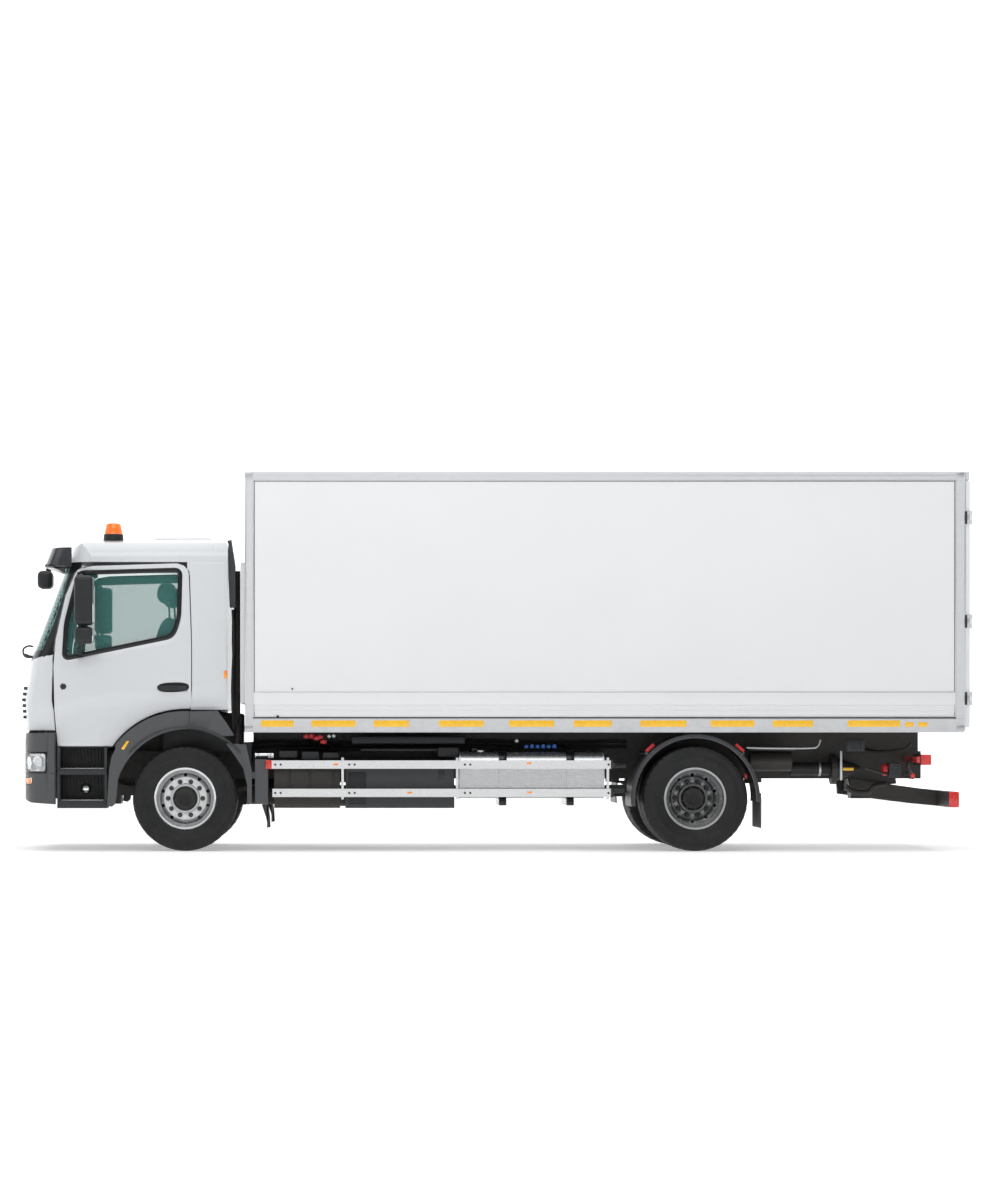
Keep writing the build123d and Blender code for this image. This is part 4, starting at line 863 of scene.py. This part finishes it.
# ------------------------------------------------------------------ cargo box
PANEL_X = (655, 7394)  # the side panel between the front and rear posts
HINGE_Z = (1468, 2207, 3201)
STRIPS = [(731, 1044), (1215, 1637), (1812, 2150), (2439, 2865), (3109, 3541), (3730, 4092), (4366, 4809),
          (5042, 5461), (5638, 6022), (6355, 6857), (6905, 6985), (7030, 7118)]
for name, flip in SIDES:
    k = Kit(f"reflective_strips_{name}", "chassis", YELLOW)
    for n, (a, b) in enumerate(STRIPS):
        k.box(a, b, -1277.2, -1272, 1196, 1258 if n < 10 else 1240, r=1.4)
    k.done(flip=flip)
    k = Kit(f"box_mouldings_{name}", "chassis", PANEL)
    k.box(*PANEL_X, -1272.5, -1262, 1408, 1526, r=2.5)
    for z in (1340, 1362, 1384):
        k.box(*PANEL_X, -1271.5, -1262, z, z + 15, r=4, seg=3)
    k.done(flip=flip)
    k = Kit(f"box_edges_{name}", "chassis", TRIM)
    k.box(*PANEL_X, -1273.5, -1262, 1291, 1301, r=3)
    k.box(*PANEL_X, -1273.5, -1262, 1528, 1533, r=1.5)
    k.box(*PANEL_X, -1274, -1262, 3553, 3561, r=2)
    for x in (657, 7384):
        k.box(x, x + 8, -1274, -1262, 1302, 3553, r=2)
    for x0, x1 in ((577, 591), (7472, 7486)):
        k.box(x0, x1, -1279, -1250, 1160, 3622, r=4)
    k.box(577, 7472, -1278.5, -1262, 3601, 3609, r=2)
    k.box(577, 7472, -1278, -1262, 1268, 1275, r=2)
    for z in (3570, 1146):
        for x0, x1 in ((575, 652), (7396, 7476)):
            k.box(x0, x1, -1280, -1240, z, z + 68, r=8, seg=3)
    k.done(flip=flip)
    k = Kit(f"box_seals_{name}", "chassis", SEAL)
    k.box(*PANEL_X, -1270.5, -1262, 1277, 1289, r=2)
    k.box(*PANEL_X, -1270, -1262, 3547, 3552, r=1.5)
    for x in (667, 7377):
        k.box(x, x + 5, -1270, -1262, 1302, 3550, r=1.5)
    for x, z in ((1032, 1560), (1042, 1446), (980, 1444)):
        k.rod((x, -1266, z), (x, -1272, z), 9, 14)
    k.box(880, 905, -1281, -1270, 1278, 1306, r=4)
    k.done(flip=flip)
    k = Kit(f"box_rivets_{name}", "chassis", STEEL)
    spots = [(x, z) for x in (604, 628, 7420, 7446) for z in range(1250, 3560, 128)]
    spots += [(x, 3582) for x in range(740, 7360, 165)] + [(x, 1172) for x in range(700, 7440, 210)]
    for x, z in spots:
        k.lathe([(6.5, -1272), (5.6, -1276.6), (2.5, -1278)], (x, 0, z), seg=8)
    k.done(flip=flip)
    door = f"cargo_door_{name}"
    k = Kit(f"rear_door_seal_{name}", door, SEAL)
    for a, b, c, d in ((-1262, -1244, 1196, 3550), (-26, -8, 1196, 3550), (-1262, -8, 1196, 1214),
                       (-1262, -8, 3532, 3550)):
        k.box(7517, 7526, a, b, c, d, r=4)
    k.done(flip=flip)
    k = Kit(f"rear_door_trim_{name}", door, TRIM)
    for z in (1230, 2000, 2760, 3486):
        k.box(7519, 7525, -1236, -36, z, z + 34, r=2)
    for z in HINGE_Z:
        k.box(7500, 7531, -1270, -1105, z - 30, z + 30, r=4)
        for q in (-1215, -1160, -1120):
            k.bolt((7531, q, z), (1, 0, 0), 9, 5)
    k.done(flip=flip)
    k = Kit(f"hinge_leaf_{name}", "chassis", DARK, "steel")
    for z in HINGE_Z:
        k.box(7474, 7500, -1284, -1268, z - 62, z + 62, r=4)
        for q in (-40, 0, 40):
            k.lathe([(7, -1284), (6, -1288), (2, -1289)], (7486, 0, z + q), seg=8)
    k.done(flip=flip)
k = Kit("box_front_fittings", "chassis", PANEL)
k.box(533, 612, -1134, 1134, 1420, 1444, r=5)
k.box(533, 612, -1134, 1134, 2758, 2780, r=5)
for y in (-1125, -560, -6, 548, 1113):
    k.box(529, 540, y, y + 12, 1440, 2762, r=3)
k.done()
k = Kit("box_marker_lamps", "chassis", ORANGE)
for y in (-1180, 1110):
    k.box(572, 580, y, y + 70, 3580, 3610, r=4)
k.done()
k = Kit("box_tail_markers", "chassis", RED)
for y in (-1200, 1130):
    k.box(7470, 7478, y, y + 70, 3585, 3612, r=4)
k.done()


# ------------------------------------------------------------------ wheels and tyres
def tyre_piece(name, body, x, ys, cad):
    """Tyres at x and each of ys, with grooves, shoulder lugs and sipes."""
    prof = [(296, 108), (300, 132), (318, 140), (350, 150), (388, 155.5), (392, 158), (398, 155.5),
            (430, 154.5), (452, 151), (456, 152.5), (470, 149), (484, 146), (494, 141), (501, 130),
            (504, 118), (505, 96), (493, 94), (493, 86), (505.6, 84), (506.5, 44), (493, 42), (493, 34),
            (506.8, 32), (507, 6), (494, 4.5), (494, 0)]
    full = prof + [(r, -a) for r, a in prof[-2::-1]]
    seg = 132
    me = bpy.data.meshes.new(name)
    verts, faces = [], []
    for y in ys:
        base = len(verts)
        for k in range(seg):
            t = 2 * pi * k / seg
            for r, a in full:
                lug = 8.0 if (k % 3 == 0 and 117 < abs(a) < 147 and r > 470) else 0.0
                sipe = 3.0 if (k % 3 == 1 and abs(a) < 110 and r > 500) else 0.0
                rr = r - lug - sipe
                verts.append(P(x + rr * cos(t), y + a, AXLE_Z + rr * sin(t)))
        n = len(full)
        for k in range(seg):
            m = (k + 1) % seg
            for j in range(n):
                i = (j + 1) % n
                faces.append((base + k * n + j, base + m * n + j, base + m * n + i, base + k * n + i))
    me.from_pydata(verts, [], faces)
    outward(me)
    return finish_piece(name, me, body, TYRE, cad, 30)


for name, flip, s in (("left", False, 1), ("right", True, -1)):
    tyre_piece(f"front_tread_{name}", f"front_roadwheel_{name}", 0, [-1020 * s], (f"front_tyre_{name}",))
    tyre_piece(f"rear_tread_{name}", f"rear_roadwheels_{name}", REAR_AXLE, [-1076 * s, -728 * s],
               (f"rear_tyres_{name}",))
    for where, x, body, face, cap, node in (("front", 0, f"front_roadwheel_{name}", -1082, -1148,
            f"front_wheel_{name}"), ("rear", REAR_AXLE, f"rear_roadwheels_{name}", -916, -1042,
            f"rear_wheels_{name}")):
        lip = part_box(node)[0][1] * 1000 if s == 1 else -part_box(node)[1][1] * 1000
        k = Kit(f"{where}_hub_cap_{name}", body, HUBBLACK)
        k.lathe([(139.5, face + 2), (142, face - 10), (139, face - 20), (126, face - 26), (120, cap + 34),
                 (118, cap + 16), (104, cap + 8), (98, cap - 1), (64, cap - 3), (58, cap - 1),
                 (30, cap - 2)], (x, 0, AXLE_Z), seg=72)
        for q in range(8):
            t = pi * q / 4 + 0.2
            k.bolt((x + 108 * cos(t), cap + 12, AXLE_Z + 108 * sin(t)), (0, -1, 0), 7, 6)
        for q in range(10):
            t = pi * q / 5
            k.bolt((x + 167.5 * cos(t), face, AXLE_Z + 167.5 * sin(t)), (0, -1, 0), 17, 26)
        k.done(flip=flip)
        k = Kit(f"{where}_rim_ring_{name}", body, BRIGHT if where == "front" else STEEL, "aluminium")
        ring = [(298.5, lip + 10), (299.5, lip + 2), (296, lip - 1.5), (290, lip), (287, lip + 8),
                (284, lip + 22), (282, lip + 40), (285.5, lip + 40), (288, lip + 22)]
        k.lathe(ring, (x, 0, AXLE_Z), seg=120, closed=True)
        k.rod((x + 262, lip + 30, AXLE_Z), (x + 250, lip + 6, AXLE_Z), 5, 12)
        k.done(flip=flip)

# ------------------------------------------------------------------ lamps, steps and lower cab
BUMPER_X, BUMPER_HALF, BUMPER_BOW = -1615, 1225, 8.3e-5  # its nose, half width and bow


def bumper_skin(s, z, d):
    """A place on the bumper's form, counted like around()."""
    a = max(min(s / CORNER, TURN), 0)
    c = BUMPER_X + SETBACK
    if s <= 0:
        return Vector((c - s, -BUMPER_HALF - d, z)), Vector((0, -1, 0))
    if s < ARC:
        n = Vector((-sin(a), -cos(a), 0))
        return Vector((c - (CORNER + d) * sin(a), CORNER - BUMPER_HALF - (CORNER + d) * cos(a), z)), n
    y = -(BEND + BUMPER_HALF - CAB_HALF - (s - ARC) * 0.99)
    n = Vector((-1, 2 * BUMPER_BOW * y, 0)).normalized()
    return Vector((BUMPER_X + BUMPER_BOW * y * y, y, z)) + n * d, n


def reflector(s, z):
    """The fluted bowl of the head lamp, sunk into the bumper."""
    return bumper_skin(s, z, -30 - 16 * abs(sin(s / 44)) ** 0.6 - 10 * sin((z - 760) / 59.2) ** 2)


for name, flip in SIDES:
    surface_panel(f"lamp_bowl_{name}", [(44, 760), (44, 946), (520, 946), (520, 760)], [], reflector,
                  "chassis", BRIGHT, depth=8, step=14, r=3, flip=flip)
    surface_panel(f"lamp_rim_{name}", [(38, 752), (38, 953), (536, 953), (536, 752)],
                  [rounded([(56, 768), (56, 938), (518, 938), (518, 768)], 26)], lambda s,
                  z: bumper_skin(s, z, 1.2), "chassis", BLACK, depth=6, step=30, r=2, flip=flip)
    surface_panel(f"turn_lamp_{name}", [(238, 650), (238, 702), (420, 702), (420, 650)], [], lambda s,
                  z: bumper_skin(s, z, 0.8), "chassis", ORANGE, depth=8, step=20, r=2, flip=flip)
    k = Kit(f"lamp_bulbs_{name}", "chassis", BRIGHT)
    for s0, z0, r0 in ((150, 860, 52), (290, 850, 60), (420, 850, 46)):
        p, n = bumper_skin(s0, z0, -24)
        turn = Matrix.Translation(p) @ n.to_track_quat("Z", "Y").to_matrix().to_4x4()
        k.lathe([(r0 * 0.3, -6), (r0 * 0.7, 0), (r0, 12), (r0 + 3, 13), (r0 + 3, 6)], (0, 0, 0), "Z", 40,
                move=turn)
        k.lathe([(8, -4), (9, 6), (4, 10)], (0, 0, 0), "Z", 16, move=turn)
    k.done(flip=flip)
    k = Kit(f"bumper_lines_{name}", "chassis", SEAL)
    k.box(-1250, -1238, -1229, -1222, 470, 1130, r=2)
    k.box(-1290, -1240, -1227.5, -1222, 744, 750, r=1.5)
    k.done(flip=flip)
    k = Kit(f"step_treads_{name}", "chassis", ALU)
    for top in (796, 491):
        for q in range(7):
            k.box(-1190, -780, -1200 + q * 32, -1186 + q * 32, top - 2, top + 4, r=2)
    k.done(flip=flip)
    k = Kit(f"step_trim_{name}", "chassis", DARK)
    k.box(-1228, -748, -1213, -1200, 736, 796, r=6, seg=3)
    k.box(-1226, -750, -1212, -1200, 416, 488, r=10, seg=3)
    for q in range(16):
        k.box(-1204 + q * 28, -1186 + q * 28, -1215, -1208, 752, 780, r=3)
    for q in range(13):
        for z0, z1 in ((800, 990), (494, 730)):
            k.box(-1190 + q * 33, -1180 + q * 33, -950, -938, z0, z1, r=3)
    k.done(flip=flip)
    Kit(f"step_lamp_{name}", "chassis", BRIGHT).lathe([(52, -950), (50, -962), (36, -974), (12, -980)],
            (-969, 0, 600), seg=40).done(flip=flip)
    Kit(f"arch_marker_{name}", "cab", YELLOW).prism([(-611, 985), (-556, 1062), (-533, 1058),
            (-585, 975)], -1238, -1233, r=1.5).done(flip=flip)
    Kit(f"arch_trim_lines_{name}", "cab", SEAL).prism([(40, 1176), (46, 1176), (46, 1346), (40, 1346)],
            -1236.5, -1230, r=1).done(flip=flip)
    ring = []
    for a in range(31):
        t = radians(39 + a * (141 - 39) / 30)
        ring.append((690 * cos(t), -1238, AXLE_Z + 690 * sin(t)))
    Kit(f"arch_lip_{name}", "cab", GREY).tube(ring, 9, seg=12, samples=2).done(flip=flip)
    for tag, a0, a1 in (("front", 136.5, 186), ("top", 46.5, 133.5), ("back", -2, 43.5)):
        turns = [radians(a0 + (a1 - a0) * q / 24) for q in range(25)]
        lip = [(REAR_AXLE + 606 * cos(t), -1247, AXLE_Z + 606 * sin(t)) for t in turns]
        Kit(f"mudguard_bead_{tag}_{name}", "chassis", GREY).tube(lip, 11, seg=12, samples=2).done(flip=flip)
    k = Kit(f"mudguard_markers_{name}", "chassis", REDPLASTIC)
    for a in (48.5, 131.5):
        t = radians(a)
        move = Matrix.Translation((REAR_AXLE + 650 * cos(t), -1180,
                AXLE_Z + 650 * sin(t))) @ Matrix.Rotation(-t, 4, "Y")
        k.box(-16, 16, -14, 14, -52, 52, r=5, move=move)
    k.done(flip=flip)

# ------------------------------------------------------------------ side equipment and underbody
for name, flip in SIDES:
    Kit(f"guard_caps_{name}", "chassis", RED).box(777, 836, -1238, -1202, 792, 876, r=8,
            seg=3).done(flip=flip)
    # The stickers use the orange lens finish, so they glow faintly though they are no lamps: painted light.
    k = Kit(f"guard_stickers_{name}", "chassis", ORANGE)
    for a, z in ((1425, 826), (2135, 556), (3280, 838), (3285, 558)):
        k.box(a, a + 46, -1237, -1233, z, z + 18, r=1.5)
    k.done(flip=flip)
    k = Kit(f"guard_fixings_{name}", "chassis", DARK, "steel")
    for x in (842, 1552, 2662, 4040):
        for z in (834, 562):
            k.bolt((x + 26, -1235, z), (0, -1, 0), 8, 4)
            k.bolt((x + 78, -1235, z), (0, -1, 0), 8, 4)
    for z in (790, 519):
        k.box(4086, 4112, -1238, -1204, z, z + 88, r=6)
    k.done(flip=flip)
k = Kit("air_cylinder", "chassis", BRIGHT, "aluminium")
k.lathe([(20, 668), (27, 672), (29, 684), (29, 700), (26, 704), (29, 708), (29, 820), (26, 824),
         (29, 828), (28, 850), (18, 858)], (0, -1090, 926), "X", 40)
k.done()
k = Kit("air_couplings", "chassis", REDPLASTIC)
for x, z, y in ((1165, 1104, -1010), (1262, 1086, -1040), (1296, 1098, -1040), (1330, 1052, -1050),
                (1215, 1108, -1010)):
    k.lathe([(17, y - 20), (22, y - 16), (22, y + 20), (15, y + 26)], (x, 0, z), seg=24)
    k.box(x - 30, x + 30, y, y + 40, z - 16, z + 16, r=6)
k.done()
k = Kit("pale_couplings", "chassis", STEEL)
for x, z, y in ((1385, 1106, -1045), (1428, 1110, -1040), (3196, 1062, -1020)):
    k.lathe([(12, y - 24), (19, y - 18), (19, y + 20), (12, y + 24)], (x, 0, z), seg=20)
k.lathe([(22, -1066), (30, -1060), (30, -1030), (16, -1020), (16, -960)], (1636, 0, 676), seg=28)
k.box(1600, 1680, -1050, -1010, 622, 652, r=8)
k.tube([(1636, -1040, 650), (1640, -1046, 560), (1660, -1040, 520), (1720, -1020, 520)], 9)
k.done()
k = Kit("blue_connectors", "chassis", BLUE)
for q in range(6):
    x = 3290 + q * 54
    k.lathe([(13, -1036), (17, -1030), (17, -1000), (12, -990)], (x, 0, 1006 + (q % 2) * 7), seg=20)
    k.box(x - 20, x + 20, -1008, -960, 990, 1024, r=5)
k.done()
k = Kit("dark_boxes", "chassis", DARK)
k.box(1600, 2700, -1010, -760, 1030, 1108, r=18, seg=4)
k.box(1690, 2440, -1035, -820, 962, 986, r=8)
k.box(2430, 2640, -1060, -820, 900, 1000, r=16, seg=4)
k.box(560, 640, -1000, -560, 840, 1050, r=14, seg=3)
k.box(900, 1080, -1130, -700, 898, 968, r=16, seg=4)
k.box(1120, 1290, -1120, -720, 880, 960, r=16, seg=4)
k.box(1320, 1480, -1100, -700, 890, 950, r=14, seg=3)
for x in (1000, 1190, 1420, 1500):
    k.box(x, x + 12, -1140, -1120, 480, 790, r=4)
k.box(1560, 1750, -1132, -1100, 440, 770, r=14, seg=4)
k.box(1800, 2300, -1128, -1100, 640, 720, r=14, seg=4)
k.box(2340, 2560, -1120, -1090, 600, 800, r=20, seg=4)
k.box(2430, 2500, -1134, -1110, 690, 780, r=10)
k.box(5440, 5900, -1010, -760, 968, 1010, r=12)
for y in (-690, 450):
    k.box(-240, 520, y, y + 240, 960, 1335, r=20)
for y in (-1190, 1000):
    k.prism([(738, 450), (800, 450), (814, 330), (820, 230), (800, 230), (778, 330)], y, y + 190, r=4)
k.box(6800, 6912, -980, -800, 706, 850, r=12, seg=3)
for z in (722, 748, 774, 800, 826):
    k.box(6806, 6906, -984, -976, z, z + 12, r=3)
k.box(6380, 6560, -1010, -980, 960, 1080, r=8)
for q in range(5):
    k.box(6392 + q * 32, 6404 + q * 32, -1016, -1006, 970, 1070, r=3)
k.done()
k = Kit("vent_plate", "chassis", STEEL)
k.box(6318, 6340, -1032, -1000, 680, 965, r=6)
k.tube([(5405, -1120, 995), (5700, -1120, 990), (6020, -1110, 992), (6090, -1100, 1010),
        (6120, -1090, 1070)], 9, samples=12)
for x in (6160, 6290):
    k.lathe([(64, x), (70, x + 4), (70, x + 22), (64, x + 26)], (0, -640, 787), "X", 40)
k.done()
Kit("tail_coupling_ring", "chassis", REDPLASTIC).lathe([(52, 6748), (58, 6752), (58, 6792), (52, 6796)],
        (0, -880, 780), "X", 36).done()
# A yellow strip along the cone under the rear of the chassis: a painted golden highlight.
Kit("cone_highlight", "chassis", YELLOW).box(6385, 6490, -764, -744, 772, 800, r=5).done()
k = Kit("underrun_end_plates", "chassis", RED)
for y in (-1184, 1176):
    k.box(7344, 7437, y, y + 8, 423, 573, r=3)
for y in (-1180, 900):
    k.box(7434, 7440, y, y + 280, 440, 560, r=2.5)
k.done()
k = Kit("lamp_brackets", "chassis", CHASSIS)
for s in (-1, 1):
    k.tube([(7060, s * 800, 880), (7020, s * 800, 860), (7010, s * 790, 800), (7060, s * 700, 740),
            (7080, s * 440, 740)], 16)
    k.box(7068, 7080, s * 760 - 5, s * 1155, 822, 940, r=6)
    k.tube([(6640, s * 470, 980), (6760, s * 720, 960), (6950, s * 930, 980), (7020, s * 950, 1040)], 13)
k.tube([(6420, -700, 620), (6500, -700, 566), (6640, -700, 560), (6700, -690, 620), (6820, -640, 640)], 24)
k.tube([(6560, -1000, 800), (6700, -960, 760), (6900, -900, 720), (7060, -820, 700)], 12)
k.done()
k = Kit("small_red_lamps", "chassis", RED)
for y in (-1010, 980):
    k.box(7005, 7044, y, y + 30, 705, 745, r=8, seg=3)
    k.box(5386, 5420, y - 80, y - 50, 700, 745, r=8, seg=3)
k.done()
hose = Kit("clipped_pipes", "chassis", HOSE)
for y0, z0, r0 in ((-470, 1000, 13), (-500, 1024, 11), (-520, 984, 12), (-540, 1040, 9), (-480, 1060, 12)):
    hose.tube([(520, y0 - 60, z0 - 30), (900, y0, z0), (1700, y0 - 12, z0 - 14), (2600, y0, z0 + 8),
               (3500, y0 - 8, z0 - 10), (4300, y0 + 10, z0)], r0, seg=10, samples=6)
for x, z in ((1165, 1104), (1262, 1086), (1330, 1052), (1385, 1106)):
    hose.tube([(x, -1010, z), (x + 10, -900, z - 30), (x + 60, -700, z - 90), (x + 160, -520, z - 80)], 8)
for x in (3290, 3344, 3398, 3452, 3506, 3560):
    hose.tube([(x, -980, 1006), (x + 20, -880, 990), (x + 90, -620, 1010), (x + 160, -500, 1030)], 6)
for n, y in enumerate((-1010, -960, -890)):
    hose.tube([(455 + 12 * n, y, 1180), (448 + 8 * n, y + 10, 1600), (462 - 6 * n, y, 2000),
               (452, y + 6, 2330)], 12 - n, samples=8)
hose.tube([(500, -700, 1150), (470, -760, 1300), (520, -820, 1200), (470, -880, 1280), (500, -940, 1150)],
          13, samples=10)
hose.done()
k = Kit("stack_fittings", "chassis", CHASSIS)
for z in (1060, 1250, 1500, 1900, 2300, 2640):
    k.lathe([(33, z), (39, z + 4), (39, z + 34), (33, z + 38)], (490, -820, 0), "Z", 36)
    k.box(500, 538, -838, -802, z + 6, z + 30, r=4)
k.done()
k = Kit("stack_guard", "chassis", STEEL)
for q in range(9):
    k.box(443, 449, -880 + q * 14, -873 + q * 14, 1720, 2260, r=2)
for z in (1712, 2254):
    k.box(441, 451, -884, -756, z, z + 14, r=3)
k.done()
k = Kit("tank_fittings", "chassis", BLACK)
k.lathe([(44, 952), (52, 960), (52, 988), (46, 996), (20, 998)], (2790, -900, 0), "Z", 40)
for z0, z1 in ((560, 640), (800, 850)):
    k.box(4040, 4250, -1130, -1090, z0, z1, r=8)
k.done()
k = Kit("tank_straps", "chassis", BLACK)
for x in (3016, 3666):
    k.prism(rounded([(-1171, 503), (-1171, 961), (-554, 961), (-554, 503)], 114, 8), x, x + 77, r=2,
            axis="X")
    k.box(x + 4, x + 73, -1150, -1090, 440, 508, r=10)
    k.bolt((x + 38, -1174, 560), (0, -1, 0), 9, 6)
k.done()
k = Kit("tank_seams", "chassis", TANK)
for x in (2640, 4019):
    k.prism(rounded([(-1168, 506), (-1168, 958), (-557, 958), (-557, 506)], 112, 8), x, x + 10, r=2,
            axis="X")
k.done()

# ------------------------------------------------------------------ finishes of the carried-over nodes
FINISH = {"frame_rails": CHASSIS, "crossmembers": CHASSIS, "front_axle_beam": CAST,
          "rear_axle_housing": CAST, "suspension": CAST, "engine": CAST, "exhaust_system": CHASSIS,
          "fuel_tank": TANK, "battery_box": DARK, "air_tanks": CHASSIS, "side_guards": ALU,
          "mudguards": GREY, "front_bumper": GREY, "front_lamps": LENS, "underrun_guard": CHASSIS,
          "tow_coupling": CHASSIS, "tail_lamps": RED, "box_floor": CHASSIS, "box_front_wall": PANEL,
          "box_side_left": PANEL, "box_side_right": PANEL, "box_roof": PANEL, "box_frame": SILL,
          "cab_front": BLACK, "cab_rear_wall": WHITE, "cab_roof": WHITE, "cab_floor": DARK,
          "windscreen": SCREEN, "sun_visor": SMOKE, "beacon": AMBER, "wheel_arches": GREY,
          "entry_steps": DARK, "snorkel": DARK, "seats": FABRIC, "dashboard": INNER,
          "steering_wheel": DARK, "grille_flap": DARK, "propshaft": CAST,}
for side in ("left", "right"):
    FINISH.update({f"steering_knuckle_{side}": CAST, f"front_wheel_{side}": SILVER,
                   f"front_tyre_{side}": TYRE, f"rear_wheels_{side}": WHEELGREY,
                   f"rear_tyres_{side}": TYRE, f"cab_door_{side}": BLACK, f"door_window_{side}": GLASS,
                   f"door_mirror_{side}": DARK, f"rear_door_{side}": PANEL, f"lock_rod_{side}": STEEL,
                   f"wiper_{side}": DARK,})
for node, finish in FINISH.items():
    paint(node, finish)
